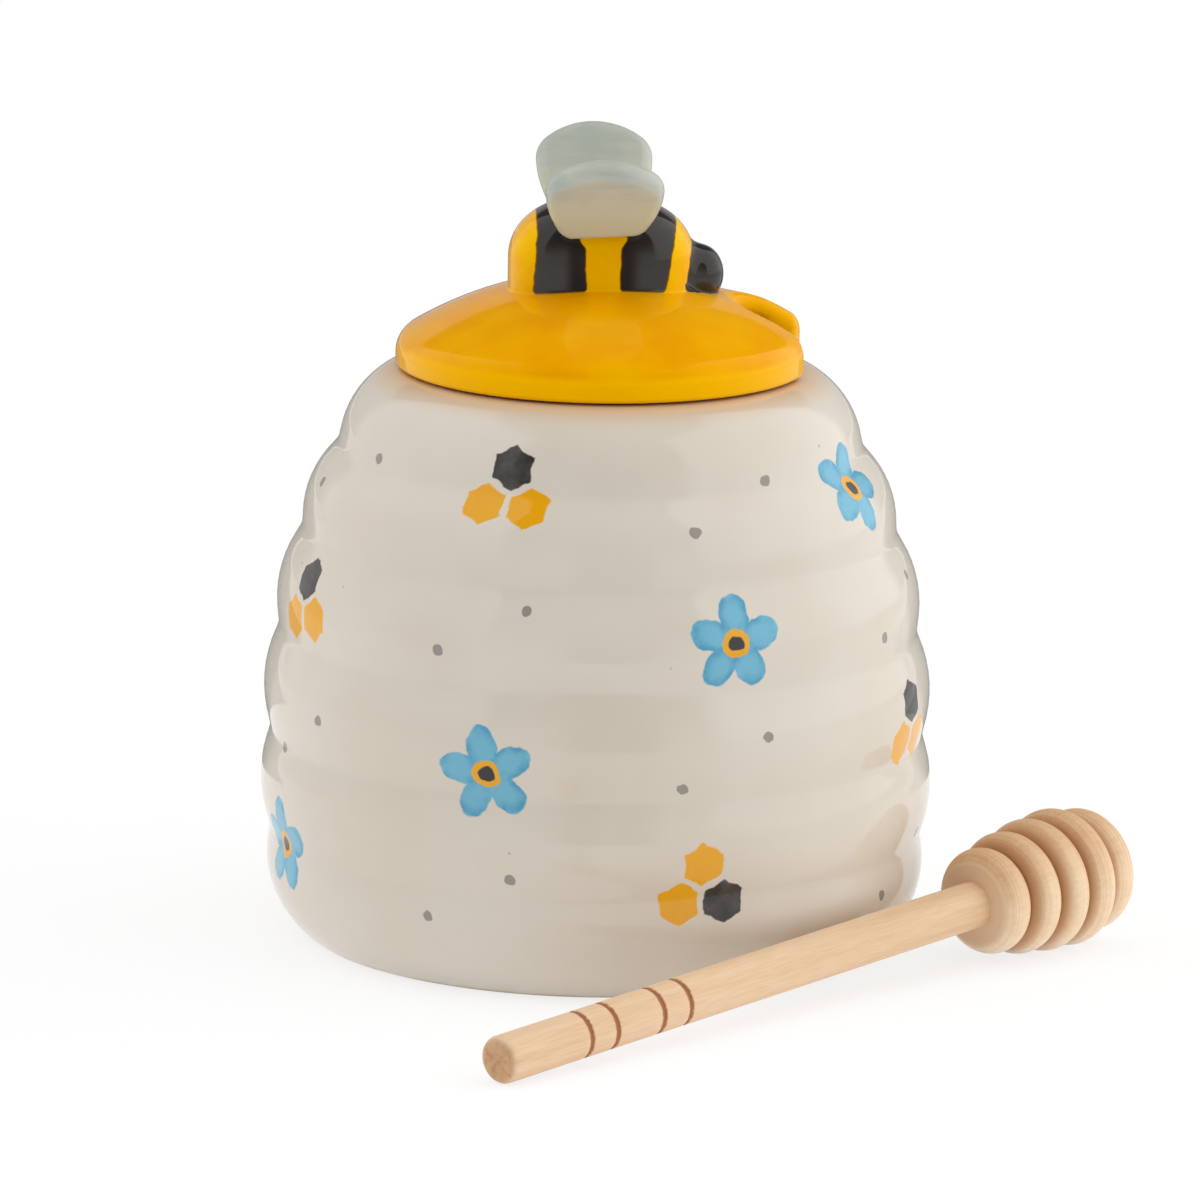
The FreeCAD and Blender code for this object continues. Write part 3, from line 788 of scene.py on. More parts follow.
def lid_field(lid):
    """Dome with a rounded edge, hollow underneath, with a collar and a notch."""
    mid_collar = (lid.collar_outside + lid.collar_inside) / 2
    half_collar = (lid.collar_outside - lid.collar_inside) / 2
    collar_round, collar_root = 1.2 * MM, 3 * MM
    round_end = lid.notch_start + lid.notch_width / 2
    corner = lid.radius - 3.1 * MM
    flare_length = 4 * MM
    push_start, push_end, push_reach = 17 * MM, 29 * MM, 8 * MM
    opening = (lid.notch_mouth - lid.notch_width) / 2 / (corner - round_end)

    def field(points):
        x, y, z = points.T
        out = np.hypot(x, y)
        flare = np.maximum(x - corner, 0) ** 2 / flare_length
        half_width = lid.notch_width / 2 + opening * ramp(x - round_end, 3 * MM) + flare
        notch = np.hypot(ramp(round_end - x, 2 * MM), y) - half_width
        soft = lid.notch_near + (lid.notch_far - lid.notch_near) * smooth(y, -3 * MM, 3 * MM)
        pushed = smooth(x, push_start, push_end) * np.exp(-(np.maximum(notch, 0) / push_reach) ** 2)
        pushed *= lid.near_lip + (lid.lip - lid.near_lip) * smooth(y, -2 * MM, 2 * MM)
        raised = points - np.outer(pushed, (0, 0, 1))
        dome = dome_field(lid, raised)
        shell = rounded_meet(dome, out - lid.radius, lid.shoulder_round)
        shell = rounded_meet(shell, lid.seat - z, lid.edge_round)
        collar = np.abs(out - mid_collar) - half_collar
        collar = rounded_meet(collar, lid.seat - lid.collar_depth - z, collar_round)
        collar = np.maximum(collar, z - lid.seat - collar_root)
        hollow = np.maximum(dome + lid.wall, out - lid.collar_inside)
        solid = np.maximum(np.minimum(shell, collar), -hollow)
        return rounded_meet(solid, -notch, soft)

    return field


def in_bee_frame(bee, points):
    """Points seen from the bee, which looks along its own X."""
    c, s = math.cos(bee.turn), math.sin(bee.turn)
    x = points[:, 0] - bee.shift
    y = points[:, 1]
    return np.stack([c * x + s * y, c * y - s * x, points[:, 2]], axis=1)


def back_field(lid, bee, points):
    """The bee's body: upright sides on a blunt oval, and a domed back."""
    local = in_bee_frame(bee, points)
    local[:, 2] = np.maximum(local[:, 2] - (lid.seat + lid.rise + bee.side_height), 0)
    return loaf(local, np.array([bee.length / 2, bee.width / 2, bee.crown]))


def head_field(lid, bee, points):
    """The bee's head, round and a little higher than long."""
    middle = np.array([bee.head_reach, 0, lid.seat + lid.rise + bee.head_rise])
    halves = np.array([bee.head_length, bee.head_width, bee.head_height]) / 2
    return egg(in_bee_frame(bee, points), middle, halves)


def seated(own, other, fillet, sink=0.12 * MM, depth=0.9 * MM):
    """A piece with a soft foot of glaze against another, running just under its surface."""
    joined = filled_join(own, other + sink, fillet)
    return np.maximum(np.maximum(joined, own - 1.6 * fillet), -(other + depth))


def wing_outline(wing):
    """Closed outline of a wing, root at the bottom."""
    half = wing.width / 2
    drop = wing.side - wing.corner
    widest = drop * math.sin(wing.taper) + wing.corner
    corner_middle = half - wing.side + drop * math.cos(wing.taper)
    shoulder_middle = half - wing.shoulder
    quarter = math.radians(45)
    top_radius = wing.shoulder + shoulder_middle / math.cos(quarter)
    arcs = (
        (corner_middle, wing.corner, wing.corner, math.radians(-90), -wing.taper),
        (half - wing.side, widest, wing.side, -wing.taper, 0),
        (shoulder_middle, widest, wing.shoulder, 0, quarter),
        (0, widest - shoulder_middle, top_radius, quarter, math.radians(90)),
    )
    right = []
    for x, y, radius, start, end in arcs:
        swing = np.linspace(start, end, 12)
        right.append(np.stack([x + radius * np.cos(swing), y + radius * np.sin(swing)], axis=1)[:-1])
    right = np.vstack(right)
    tip = widest - shoulder_middle + top_radius
    outline = np.vstack([right, [[0, tip]], right[::-1] * (-1, 1)])
    off = outline[:, 0] - wing.root_lowest
    ease, steepness, skew = 2.5 * MM, 0.28, 0.06
    lifted = steepness * (np.hypot(off, ease) - ease) - skew * off
    outline[:, 1] += lifted * (1 - outline[:, 1] / tip)
    return outline


def wing_field(lid, bee, wing, side):
    """A wing on one side of the bee, its slab rounded along the edge."""
    outline = wing_outline(wing)
    turn = Matrix.Rotation(bee.turn, 3, "Z")
    root = turn @ Vector((wing.shift, side * wing.root_spread, 0))
    place = np.array(root) + (bee.shift, 0, lid.seat + lid.rise + wing.root_rise)
    frame_turn = np.array(turn @ Matrix.Rotation(math.radians(90) - side * wing.splay, 3, "X"))

    def field(points):
        local = (points - place) @ frame_turn
        plan = within(local[:, :2], outline)
        return rounded_meet(plan, np.abs(local[:, 2]) - wing.thickness / 2, wing.edge_round)

    return field


# Finishes

def glaze_surface(name, waves=0.03 * MM):
    """A glossy glaze with the slow waves and the pinholes of a dipped and fired one."""
    material, bench, surface = new_finish(name, sum(GLAZE_ROUGHNESS) / 2)
    spot = bench.spot()
    pinholes = bench.step(bench.noise(spot, 1400.0, 1.0), 0.27, 0.2)
    add_bump(bench, surface, bench.noise(spot, 90.0) * waves - pinholes * PINHOLE_DEPTH, 1.0, 1.0)
    return material, bench, surface, spot


def glazed(bench, surface, spot, base, bare=None):
    """Colour of a glaze, and its roughness, which drifts a little and is high on bare clay."""
    rough = bench.blend(bench.noise(spot, 50.0), *GLAZE_ROUGHNESS)
    if bare:
        rough = bench.math("MAXIMUM", rough, bare * CLAY_ROUGHNESS)
    bench.feed(surface.inputs["Base Color"], base)
    bench.feed(surface.inputs["Roughness"], rough)


def sector(bench, local, count):
    """Number of the sector round a motif's middle, and how far a place lies along and across its axis."""
    x, y, _ = bench.parts(local)
    out, width = bench.length(local), math.tau / count
    share = bench.math("ARCTAN2", y, x) / width
    number = round(share)
    swing = (share - number) * width
    return number, out * bench.math("COSINE", swing), out * bench.math("SINE", swing)


def blossom(bench, jar, local, wash):
    """Five washed petals round an eye: masks and colours, first to last."""
    _, along, across = sector(bench, local, 5)
    petal = bench.span((along - PETAL_PLACE) / PETAL_HALF_LENGTH, across / PETAL_HALF_WIDTH)
    dried = bench.step(petal, 0.35, 1.0) * bench.step(wash, 0.35, 0.65)
    out = bench.length(local)
    return (
        (bench.inked(petal, 1.0, 0.06), bench.mix(dried, jar.blue, jar.deep_blue)),
        (bench.inked(out, EYE_RADIUS, INK_EDGE), jar.yellow),
        (bench.inked(out, HEART_RADIUS, INK_EDGE), jar.black),
    )


def comb(bench, jar, local, wash):
    """Three six-sided cells that meet in a point, one of them black."""
    number, along, across = sector(bench, local, 3)
    along, across = abs(along - CELL_PLACE), abs(across)
    side = bench.math("MAXIMUM", across, along * math.sqrt(0.75) + across * 0.5)
    first = bench.math("COMPARE", number, 0.0, 0.1)
    black = bench.mix(bench.step(wash, 0.25, 0.85) * 0.2, jar.black, jar.grey)
    return ((bench.inked(side, CELL_RADIUS, INK_EDGE), bench.mix(first, jar.yellow, black)),)


def printed(bench, jar, base, spot, start):
    """The print outside the jar: rows of blossoms and comb cells in turn with pairs of dots."""
    around, run, _ = bench.parts(bench.add("ShaderNodeUVMap", uv_map="turned").outputs[0])
    x, y, _ = bench.parts(spot)
    columns = around * PRINT_COLUMNS
    rows = (run - start) / jar.print_pitch
    column, row = math.floor(columns), math.floor(rows)
    girth = bench.span(x, y) * (math.tau / PRINT_COLUMNS)
    local = bench.joined((columns - column - 0.5) * girth, (rows - row - 0.5) * jar.print_pitch)
    chance = bench.add("ShaderNodeTexWhiteNoise", {"Vector": bench.joined(column, row, PRINT_SEED)}).outputs
    shaky = bench.add("ShaderNodeTexNoise", {"Vector": spot, "Scale": 420.0, "Detail": 2.0}).outputs
    stray, shake = (
        bench.vector("MULTIPLY", bench.vector("SUBTRACT", made["Color"], (0.5,) * 3), reach)
        for made, reach in ((chance, PRINT_STRAY), (shaky, PRINT_SHAKE))
    )
    local = bench.vector("ADD", bench.vector("SUBTRACT", local, stray), shake)
    swung = {"Vector": local, "Angle": bench.math("MULTIPLY", chance["Value"], math.tau)}
    turned = bench.add("ShaderNodeVectorRotate", swung, rotation_type="Z_AXIS").outputs[0]
    wash = bench.noise(spot, 260.0, 3.0, 0.6)
    outside = bench.math("GREATER_THAN", rows, 0.0) * bench.math("LESS_THAN", rows, PRINT_ROWS)
    second = bench.math("FRACT", (column + row) * 0.5)
    dotted = outside * bench.math("GREATER_THAN", second, 0.25)
    drawn = outside - dotted
    fourth = bench.math("FRACT", (column + row * 3.0) * 0.25)
    combed = drawn * bench.math("GREATER_THAN", fourth, 0.4)
    flowered = drawn - combed
    washes = [(flowered, mask, paint) for mask, paint in blossom(bench, jar, turned, wash)]
    washes += [(combed, mask, paint) for mask, paint in comb(bench, jar, turned, wash)]
    for offset in DOT_OFFSETS:
        off = bench.length(bench.vector("SUBTRACT", local, offset))
        washes.append((dotted, bench.inked(off, DOT_RADIUS, DOT_EDGE), jar.grey))
    for place, mask, paint in washes:
        base = bench.mix(place * mask, base, paint)
    return base


def jar_finish(jar, start):
    """Off-white glaze with iron specks and the print, the yellow lid's reflection and the shade under it painted
    in at the rim, bare under the foot.
    """
    material, bench, surface, spot = glaze_surface("Jar glaze")
    height = bench.parts(spot)[2]
    cloud = bench.step(bench.noise(spot, 35.0, 3.0), 0.3, 0.75) * 0.7
    base = bench.mix(cloud, jar.glaze, jar.glaze_thin)
    iron = bench.number("ShaderNodeTexVoronoi", {"Vector": spot, "Scale": 120.0}, "Distance")
    base = bench.mix(bench.step(iron, 0.04, 0.025) * 0.6, base, jar.grey)
    base = printed(bench, jar, base, spot, start)
    # Painted reflection of the yellow lid and painted shade under it, strongest at the rim
    thin = bench.step(height, jar.height - 3.4 * MM, jar.height + 0.6 * MM) * 0.6
    base = bench.mix(thin, base, jar.rim_painted_light)
    ragged = bench.noise(spot, 200.0) * (1.2 * MM)
    bare = bench.step(height - ragged, 0.3 * MM, 0.1 * MM)
    glazed(bench, surface, spot, bench.mix(bare, base, jar.biscuit), bare)
    return material


def lid_finish(lid):
    """Yellow glaze, painted lighter round the edge for the light that its side catches, and bare on the seat."""
    material, bench, surface, spot = glaze_surface("Yellow glaze", waves=0.1 * MM)
    surface.inputs["Specular IOR Level"].default_value = 0.27
    surface.inputs["Specular Tint"].default_value = (*lid.sheen, 1)
    x, y, height = bench.parts(spot)
    radial = bench.span(x, y)
    cloud = bench.step(bench.noise(spot, 60.0, 3.0), 0.35, 0.75)
    base = bench.mix(cloud, lid.glaze, lid.glaze_deep)
    # Painted light on the lid's side band, laid in as a lighter yellow
    edge = bench.step(height, lid.seat + 4.6 * MM, lid.seat + 3.4 * MM)
    edge *= bench.step(radial, lid.radius - 2 * MM, lid.radius - 1 * MM)
    base = bench.mix(edge, base, lid.rim_painted_light)
    seat = bench.step(height, lid.seat + 0.3 * MM, lid.seat + 0.1 * MM)
    seat *= bench.step(radial, lid.collar_outside - 0.6 * MM, lid.collar_outside - 0.2 * MM)
    seat *= bench.step(radial, lid.radius - 0.8 * MM, lid.radius - 1.4 * MM)
    glazed(bench, surface, spot, bench.mix(seat, base, lid.biscuit), seat)
    return material


def black_glaze(bench, bee, spot):
    return bench.mix(bench.noise(spot, 150.0, 3.0), bee.black, bee.brown_black)


def bee_paint(bench, lid, bee, spot):
    """Black bands across the bee, each standing on the lid with rounded corners: colour and black's share."""
    top = lid.seat + lid.rise
    local = bench.placed(spot, (bee.shift, 0, top), (0, 0, bee.turn))
    along = bench.parts(local)[0] + (bench.noise(spot, 350.0) - 0.5) * (0.7 * MM)
    from_centre = bench.vector("SUBTRACT", spot, (lid.lean, 0, top - lid.dome))
    above = bench.length(from_centre) - (lid.dome + bee.band_foot)
    shy = bench.step(above, 6.8 * MM, 8.6 * MM) * (0.9 * MM)
    corner = 0.6 * MM
    below = bench.math("MAXIMUM", corner - above, 0.0)
    bands = []
    for edges in BLACK_BANDS:
        start, end = (above * lean + share * bee.length + shy * away for share, lean, away in edges)
        beyond = bench.math("MAXIMUM", start - along, along - end)
        beside = bench.math("MAXIMUM", beyond + corner, 0.0)
        bands.append(bench.span(beside, below) - corner)
    off = bench.least(bands)
    cloud = bench.step(bench.noise(spot, 120.0, 3.0), 0.35, 0.75)
    yellow = bench.mix(cloud, bee.yellow, bee.deep_yellow)
    fringe = bench.mix(bench.step(off, 0.25 * MM, 0.0), yellow, bee.brown)
    share = bench.step(off, 0.05 * MM, -0.2 * MM)
    return bench.mix(share, fringe, black_glaze(bench, bee, spot)), share


def bee_finish(lid, bee):
    material, bench, surface, spot = glaze_surface("Striped glaze", waves=0.2 * MM)
    base, black = bee_paint(bench, lid, bee, spot)
    bench.feed(surface.inputs["Specular Tint"], bench.mix(black, lid.sheen, (1, 1, 1)))
    glazed(bench, surface, spot, base)
    return material


def head_finish(bee):
    material, bench, surface, spot = glaze_surface("Black glaze", waves=0.15 * MM)
    glazed(bench, surface, spot, black_glaze(bench, bee, spot))
    return material


def wing_finish(lid, wing):
    """Pale grey glaze brushed along the bee, with the yellow light bounced from the bee and lid painted in
    warmer towards the root.
    """
    material, bench, surface, spot = glaze_surface("Wing glaze")
    strokes = bench.noise(spot, (70.0, 900.0, 900.0), 3.0)
    cloud = bench.noise(spot, 110.0) * 0.7 + strokes * 0.3
    base = bench.mix(bench.step(cloud, 0.38, 0.62), wing.glaze, wing.glaze_thin)
    root = lid.seat + lid.rise + wing.root_rise
    # Painted bounce light: warmer towards the root, where yellow light from the bee and lid falls
    painted_bounce = bench.step(bench.parts(spot)[2], root + 10.5 * MM, root + 4 * MM)
    glazed(bench, surface, spot, bench.mix(painted_bounce, base, wing.root_painted_bounce))
    return material


def wood_surface(name, place, turn):
    """Bare wood, with coordinates along the dipper, across it and up."""
    material, bench, surface = new_finish(name, WOOD_ROUGHNESS)
    return material, bench, surface, bench.placed(bench.spot(), place, turn)


def sanded(bench, surface, base, shade, roughest, relief, depth):
    """Colour of bare wood, its roughness, which grows with the shade, and the relief of its fibres."""
    bench.feed(surface.inputs["Base Color"], base)
    bench.feed(surface.inputs["Roughness"], bench.blend(shade, WOOD_ROUGHNESS, roughest))
    add_bump(bench, surface, relief, 0.5, depth)


def handle_finish(dipper, place, turn):
    """Sanded dowel: fine grain along it, end grain at its free end and scorched lines."""
    material, bench, surface, local = wood_surface("Dowel wood", place, turn)
    along, y, z = bench.parts(local)
    streaks = bench.step(bench.noise(local, (18.0, 420.0, 420.0), 3.0), 0.35, 0.7)
    fibres = bench.noise(local, (220.0, 3000.0, 3000.0))
    shade = streaks * 0.42 + bench.step(fibres, 0.35, 0.8) * 0.35
    base = bench.mix(shade, dipper.wood, dipper.grain)
    rings = bench.noise(local, (200.0, 800.0, 800.0), 4.0, 0.7)
    pith = bench.step(bench.span(y, z), 3.4 * MM, 1.2 * MM) * 0.5 + bench.step(rings, 0.35, 0.75)
    end = bench.mix(pith * 0.7, dipper.end_grain, dipper.pith)
    base = bench.mix(bench.step(along, 0.9 * MM, 0.15 * MM), base, end)
    shaky = (bench.noise(local, 1500.0) - 0.5) * (0.6 * MM)
    off = bench.least([abs(along - dipper.reach * share) for share in BURNT_LINE_SHARES]) + shaky
    burnt = bench.step(off, dipper.burnt_width * 0.85, dipper.burnt_width * 0.35)
    sanded(bench, surface, bench.mix(burnt, base, dipper.burnt), shade, 0.6, fibres, 0.06 * MM)
    return material


def head_wood_finish(dipper, place, turn):
    """Turned head: browner where it faces up and in the grooves, painted paler underneath for the floor's bounce
    light, with fine lines from the chisel round it.
    """
    material, bench, surface, local = wood_surface("Turned wood", place, turn)
    along, y, z = bench.parts(local)
    out = bench.span(y, z)
    patchy = bench.noise(local, 160.0, 3.0) * 0.9 - 0.45
    upward = z / bench.math("MAXIMUM", out, 1 * MM) + patchy
    lines = bench.noise(bench.joined(along, out), 2600.0, 3.0)
    fibres = bench.noise(local, (420.0, 1500.0, 1500.0), 3.0, 0.6)
    # Browner where the surface faces up, in patches, as well as along the chisel lines and fibres
    shade = bench.step(upward, -0.1, 1.0) * 0.6 + bench.step(lines, 0.35, 0.7) * 0.25
    shade += bench.step(fibres, 0.35, 0.75) * 0.15
    # Painted light: the underside turns paler where the floor's bounce would light it
    wood = bench.mix(bench.step(upward, -0.3, -1.0), dipper.head_wood, dipper.pale)
    base = bench.mix(shade, wood, dipper.head_grain)
    turns = (along - dipper.reach) / dipper.ring_pitch
    last_groove = len(RING_RADIUS_SHARES) - 1.0
    nearest = bench.math("MINIMUM", bench.math("MAXIMUM", round(turns), 1.0), last_groove)
    groove = bench.step(abs(turns - nearest), 0.26, 0.03) * 0.8
    base = bench.mix(groove, base, dipper.groove)
    face = bench.step(along, dipper.reach + 0.5 * MM, dipper.reach + 0.1 * MM) * 0.8
    sanded(bench, surface, bench.mix(face, base, dipper.face), shade, 0.62, lines + fibres, 0.05 * MM)
    return material


# Operators

class HONEYPOT_OT_jar(Operator):
    """Turn the ribbed jar and glaze it"""
    bl_idname = "honeypot.jar"
    bl_label = "Jar"

    def execute(self, context):
        jar = context.scene.honey_pot.jar
        outline, foot = jar_outline(jar)
        piece = turned_piece("jar_glazed", outline, JAR_SIDES, jar_finish(jar, foot + jar.print_start))
        finish_piece(piece, "jar", "pot_body")
        return {"FINISHED"}


class HONEYPOT_OT_lid(Operator):
    """Form the domed lid with its collar and notch"""
    bl_idname = "honeypot.lid"
    bl_label = "Lid"

    def execute(self, context):
        lid = context.scene.honey_pot.lid
        margin = 1.5 * MM
        reach = lid.radius + margin
        low = (-reach, -reach, lid.seat - lid.collar_depth - margin)
        high = (reach, reach, lid.seat + lid.rise + 2 * margin)
        piece = formed_piece("lid_glazed", lid_field(lid), low, high, LID_GRID, lid_finish(lid))
        finish_piece(piece, "lid_with_bee", "lid")
        return {"FINISHED"}


class HONEYPOT_OT_bee(Operator):
    """Form the bee's body and head on the dome"""
    bl_idname = "honeypot.bee"
    bl_label = "Bee"

    def execute(self, context):
        pot = context.scene.honey_pot
        lid, bee = pot.lid, pot.bee

        def body(points):
            return seated(back_field(lid, bee, points), dome_field(lid, points), bee.fillet)

        def head(points):
            own = head_field(lid, bee, points)
            on_dome = seated(own, dome_field(lid, points), bee.fillet)
            return seated(on_dome, back_field(lid, bee, points), bee.neck)

        top = lid.seat + lid.rise
        reach = bee.length / 2 + 3 * MM
        low = (-reach, -reach, top - 6 * MM)
        high = (reach, reach, top + bee.side_height + bee.crown + 1 * MM)
        piece = formed_piece("bee_body_glazed", body, low, high, BODY_GRID, bee_finish(lid, bee))
        finish_piece(piece, "lid_with_bee", "bee_body")
        low = (6 * MM, -9 * MM, top - 8 * MM)
        high = (24 * MM, 11 * MM, top + 9 * MM)
        piece = formed_piece("bee_head_glazed", head, low, high, HEAD_GRID, head_finish(bee))
        finish_piece(piece, "lid_with_bee", "bee_head")
        return {"FINISHED"}


class HONEYPOT_OT_wings(Operator):
    """Form the two wings against the bee's back"""
    bl_idname = "honeypot.wings"
    bl_label = "Wings"

    def execute(self, context):
        pot = context.scene.honey_pot
        lid, bee, wing = pot.lid, pot.bee, pot.wing
        material = wing_finish(lid, wing)
        margin = 2.5 * MM
        for name, side in (("front_wing", -1), ("rear_wing", 1)):
            own = wing_field(lid, bee, wing, side)

            def field(points):
                return seated(own(points), back_field(lid, bee, points), bee.fillet)

            lowest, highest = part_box(name)
            low = [part - margin for part in lowest]
            high = [part + margin for part in highest]
            piece = formed_piece(f"{name}_glazed", field, low, high, WING_GRID, material)
            finish_piece(piece, "lid_with_bee", name)
        return {"FINISHED"}


class HONEYPOT_OT_dipper(Operator):
    """Turn the dipper's handle and its ringed head"""
    bl_idname = "honeypot.dipper"
    bl_label = "Dipper"

    def execute(self, context):
        dipper = context.scene.honey_pot.dipper
        radius = dipper.handle / 2
        widest = dipper.reach + dipper.ring_pitch * (WIDEST_RING + 0.5)
        tilt = math.asin((dipper.ring_radius - radius) / widest)
        c, s = math.cos(dipper.bearing), math.sin(dipper.bearing)
        place = (
            dipper.distance * s - dipper.run * c,
            -dipper.distance * c - dipper.run * s,
            radius * math.cos(tilt),
        )
        turn = (0, math.radians(90) - tilt, dipper.bearing)
        lay = (0, -tilt, dipper.bearing)
        material = handle_finish(dipper, place, lay)
        outline = handle_outline(dipper)
        piece = turned_piece("dipper_handle_sanded", outline, HANDLE_SIDES, material, turn, place)
        finish_piece(piece, "dipper", "dipper_handle")
        material = head_wood_finish(dipper, place, lay)
        outline = rings_outline(dipper)
        piece = turned_piece("dipper_head_turned", outline, RING_SIDES, material, turn, place)
        finish_piece(piece, "dipper", "dipper_head")
        return {"FINISHED"}


class HONEYPOT_OT_stage(Operator):
    """Set up the floor, the soft lights and the camera"""
    bl_idname = "honeypot.stage"
    bl_label = "Stage"

    def execute(self, context):
        stage = context.scene.honey_pot.stage
        self.add_floor(stage)
        self.add_world(stage)
        self.add_walls(stage)
        self.add_cloth(stage)
        self.add_panel("right_panel", stage.right_power, (0.9, 0.1, 0.7), (0, 0.1, 0.7), 2.0, 1.4)
        self.add_panel("left_panel", stage.left_power, (-0.9, 0.1, 0.7), (0, 0.1, 0.7), 2.0, 1.4)
        self.add_panel("top_panel", stage.top_power, (0, -0.1, 1.2), (0, -0.1, 0), 1.2, 1.2)
        self.add_camera(stage)
        context.scene.view_settings.view_transform = "Standard"
        return {"FINISHED"}

    def add_floor(self, stage):
        """A pale floor that is white to the camera away from the pot, and keeps the pot's shadow near it."""
        mesh = bpy.data.meshes.new("floor")
        reach = 6.0
        corners = [(-reach, -reach, 0), (reach, -reach, 0), (reach, reach, 0), (-reach, reach, 0)]
        mesh.from_pydata(corners, [], [(0, 1, 2, 3)])
        material, bench, surface = new_finish("Pale floor", 0.9)
        surface.inputs["Base Color"].default_value = (0.9, 0.9, 0.9, 1)
        surface.inputs["Specular IOR Level"].default_value = 0.0
        surface.inputs["Emission Color"].default_value = (1, 1, 1, 1)
        surface.inputs["Emission Strength"].default_value = 0.15
        place = bench.spot()
        out = bench.length(place)
        away = bench.step(out, 0.1, 0.35, 0.72, 1.0)
        fading = bench.step(out, 0.35, 0.9)
        dim = self.camera_side(bench, place) * bench.step(out, 0.38, 0.6)
        seen, white = self.white_backdrop(bench, stage, fading, dim, "ShaderNodeEmission")
        both = bench.add("ShaderNodeMixShader", {0: seen * away, 1: surface.outputs[0], 2: white})
        output = next(node for node in material.node_tree.nodes if node.type == "OUTPUT_MATERIAL")
        bench.feed(output.inputs["Surface"], both.outputs[0])
        mesh.materials.append(material)
        link("floor", mesh)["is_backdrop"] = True

    def add_world(self, stage):
        """Even light on the pot, and white wherever the camera looks past it."""
        world = bpy.data.worlds.new("Studio")
        bpy.context.scene.world = world
        world.use_nodes = True
        world.node_tree.nodes.clear()
        bench = Bench(world.node_tree)
        seen, white = self.white_backdrop(bench, stage, 1.0, 0.0, "ShaderNodeBackground")
        room = bench.add("ShaderNodeBackground", {"Color": (1, 1, 1, 1), "Strength": stage.room})
        both = bench.add("ShaderNodeMixShader", {0: seen, 1: room.outputs[0], 2: white})
        bench.add("ShaderNodeOutputWorld", {"Surface": both.outputs[0]})

    def camera_side(self, bench, place):
        """How far a place lies in the dim part of the room, round the camera."""
        x, y, _ = bench.parts(place)
        bearing = bench.math("ARCTAN2", x, y * -1.0)
        return bench.step(abs(bearing - DIM_BEARING), *DIM_EDGES)

    def white_backdrop(self, bench, stage, fading, dim, kind):
        """What looks at the backdrop, and its white, which the glaze sees fade to the walls."""
        path = bench.add("ShaderNodeLightPath").outputs
        seen = bench.math("MAXIMUM", path["Is Camera Ray"], path["Is Glossy Ray"])
        seen = bench.math("MAXIMUM", seen, path["Is Transmission Ray"])
        mirrored = Value(bench, path["Is Glossy Ray"])
        strength = mirrored * fading * (stage.walls - 1) + 1.0
        strength *= mirrored * dim * -stage.dimmed + 1.0
        return seen, bench.add(kind, {"Color": (1, 1, 1, 1), "Strength": strength}).outputs[0]

    def add_walls(self, stage):
        """The bright walls and the dark ceiling of the studio, which only the glaze sees."""
        mesh = bpy.data.meshes.new("studio_walls")
        reach, steps, levels = 4.0, 48, 12
        highest, lowest = 84, 0.5
        points = [(0, 0, reach)]
        for level in range(levels):
            lift = math.radians(highest - (highest - lowest) * level / (levels - 1))
            for step in range(steps):
                bearing = math.tau * step / steps
                flat = reach * math.cos(lift)
                points.append((flat * math.cos(bearing), flat * math.sin(bearing), reach * math.sin(lift)))
        faces = [(0, 1 + step, 1 + (step + 1) % steps) for step in range(steps)]
        for level in range(levels - 1):
            first = 1 + level * steps
            for step in range(steps):
                beside = (step + 1) % steps
                faces.append((first + step, first + steps + step, first + steps + beside, first + beside))
        mesh.from_pydata(points, [], faces)
        self.add_mirrored("studio_walls", mesh, stage, stage.walls, stage.ceiling)

    def add_cloth(self, stage):
        """The grey table behind the pot, which only the glaze sees."""
        mesh = bpy.data.meshes.new("table_behind")
        narrow, wide, near, far, height = 0.2, 1.5, 0.12, 2.5, 0.002
        corners = [(-narrow, near, height), (narrow, near, height), (wide, far, height), (-wide, far, height)]
        mesh.from_pydata(corners, [], [(0, 1, 2, 3)])
        self.add_mirrored("table_behind", mesh, stage, stage.cloth, stage.cloth)

    def add_mirrored(self, name, mesh, stage, foot, top):
        """A glowing sheet that shows in glossy surfaces alone, fading from its foot to its top."""
        material = bpy.data.materials.new(name)
        material.use_nodes = True
        material.node_tree.nodes.clear()
        bench = Bench(material.node_tree)
        place = bench.spot()
        x, y, lift = bench.parts(bench.vector("NORMALIZE", place))
        flat = bench.math("MAXIMUM", bench.span(x, y), 0.001)
        beside = bench.step(abs(x) / flat, 0.6, 0.72)
        behind = bench.step(y, -0.2, 0.5)
        start, end = (
            bench.blend(beside, bench.blend(behind, math.sin(ahead), math.sin(back)), math.sin(side))
            for ahead, back, side in np.radians(WALL_FADES)
        )
        bright = (x * 0.3 + 1.3) * foot
        low = bench.blend(beside, bench.blend(behind, foot, 0.55 * foot), bright)
        strength = bench.step(lift, start, end, low, top)
        strength *= self.camera_side(bench, place) * -stage.dimmed + 1.0
        glow = bench.add("ShaderNodeEmission", {"Color": (1, 1, 1, 1), "Strength": strength})
        bench.add("ShaderNodeOutputMaterial", {"Surface": glow.outputs[0]})
        mesh.materials.append(material)
        sheet = link(name, mesh)
        sheet.visible_camera = sheet.visible_diffuse = sheet.visible_shadow = False
        sheet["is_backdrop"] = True

    def add_panel(self, name, power, place, target, width, height):
        """A soft light that neither the camera nor the glaze sees."""
        light = bpy.data.lights.new(name, "AREA")
        light.shape = "RECTANGLE"
        light.size, light.size_y = width, height
        light.energy = power
        panel = link(name, light)
        panel.location = place
        panel.rotation_euler = (Vector(target) - Vector(place)).to_track_quat("-Z", "Y").to_euler()
        panel.visible_camera = panel.visible_glossy = False

    def add_camera(self, stage):
        data = bpy.data.cameras.new("camera")
        data.lens = stage.lens
        data.sensor_width = 36.0
        camera = link("camera", data)
        look = Matrix.Rotation(math.radians(90) - stage.pitch, 4, "X") @ Matrix.Rotation(stage.roll, 4, "Z")
        camera.matrix_world = Matrix.Translation((stage.offset, -stage.distance, stage.height)) @ look
        bpy.context.scene.camera = camera


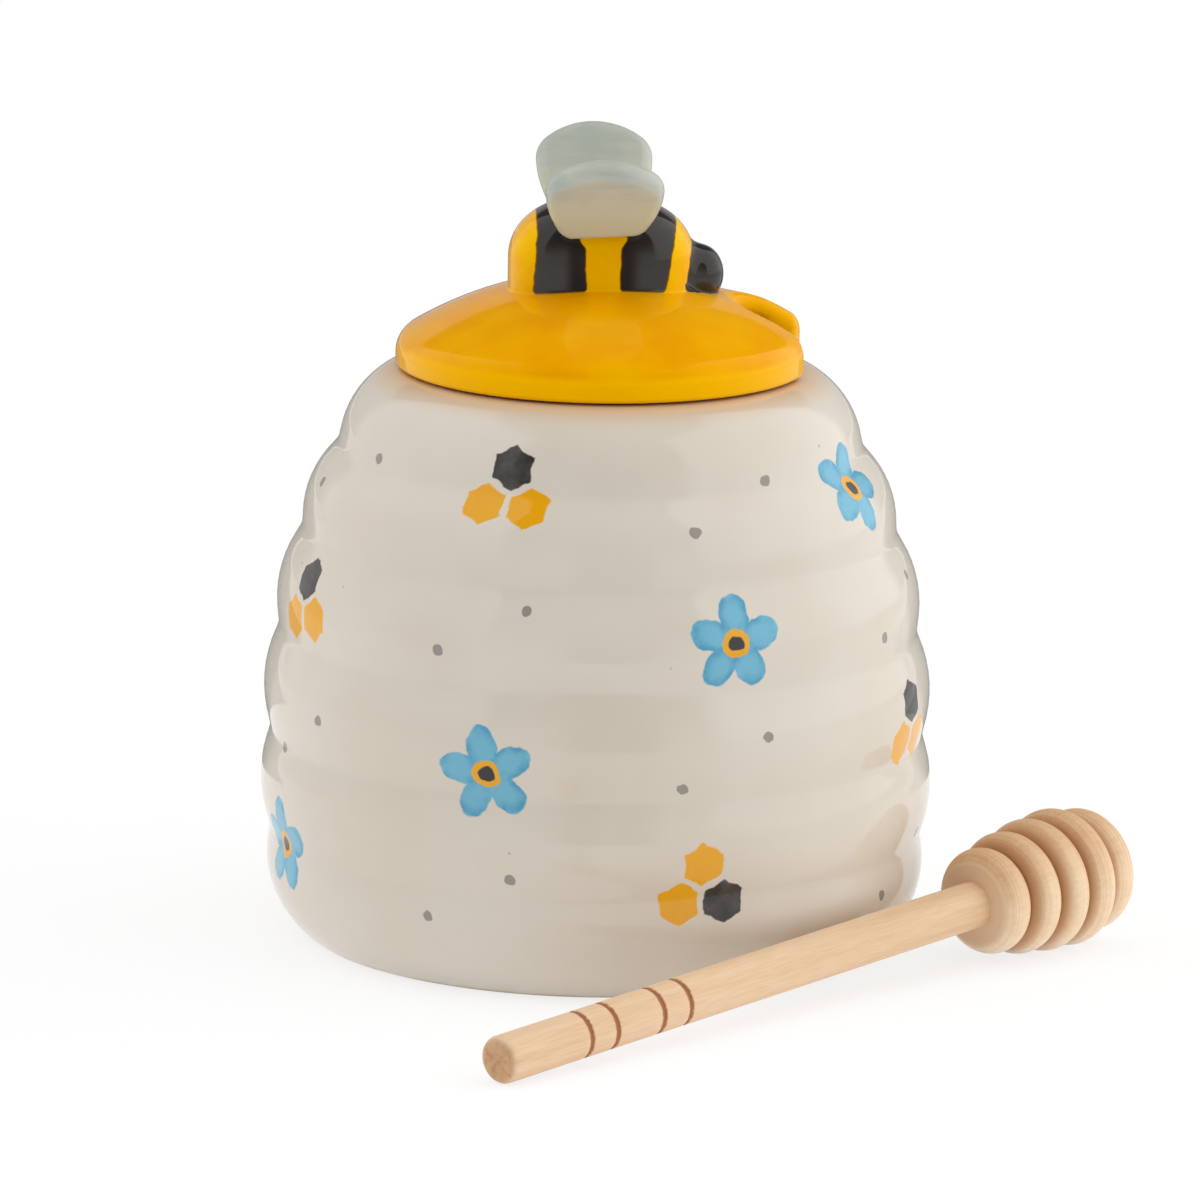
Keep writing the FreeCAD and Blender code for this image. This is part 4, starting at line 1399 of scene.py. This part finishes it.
class HONEYPOT_PT_panel(Panel):
    """Builds the pieces of the honey pot"""
    bl_idname = "HONEYPOT_PT_panel"
    bl_label = "Honey Pot"
    bl_space_type = "VIEW_3D"
    bl_region_type = "UI"
    bl_category = "Honey Pot"

    def draw(self, context):
        for operator in OPERATORS:
            self.layout.operator(operator.bl_idname)
        pot = context.scene.honey_pot
        for name in pot.bl_rna.properties.keys():
            group = getattr(pot, name)
            if isinstance(group, PropertyGroup):
                box = self.layout.box()
                for setting in group.bl_rna.properties.keys():
                    if setting not in ("rna_type", "name"):
                        box.prop(group, setting)


OPERATORS = (
    HONEYPOT_OT_jar,
    HONEYPOT_OT_lid,
    HONEYPOT_OT_bee,
    HONEYPOT_OT_wings,
    HONEYPOT_OT_dipper,
    HONEYPOT_OT_stage,
)
CLASSES = (
    JarSettings,
    LidSettings,
    BeeSettings,
    WingSettings,
    DipperSettings,
    StageSettings,
    HoneyPotSettings,
    *OPERATORS,
    HONEYPOT_PT_panel,
)


def register():
    for cls in CLASSES:
        bpy.utils.register_class(cls)
    bpy.types.Scene.honey_pot = PointerProperty(type=HoneyPotSettings)


def unregister():
    del bpy.types.Scene.honey_pot
    for cls in reversed(CLASSES):
        bpy.utils.unregister_class(cls)


def main():
    register()
    bpy.ops.honeypot.jar()
    bpy.ops.honeypot.lid()
    bpy.ops.honeypot.bee()
    bpy.ops.honeypot.wings()
    bpy.ops.honeypot.dipper()
    bpy.ops.honeypot.stage()
    boxes = {"cad": [list(corner) for corner in CAD_BOX], "visual": [list(corner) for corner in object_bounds()]}


if __name__ == "__main__":
    main()
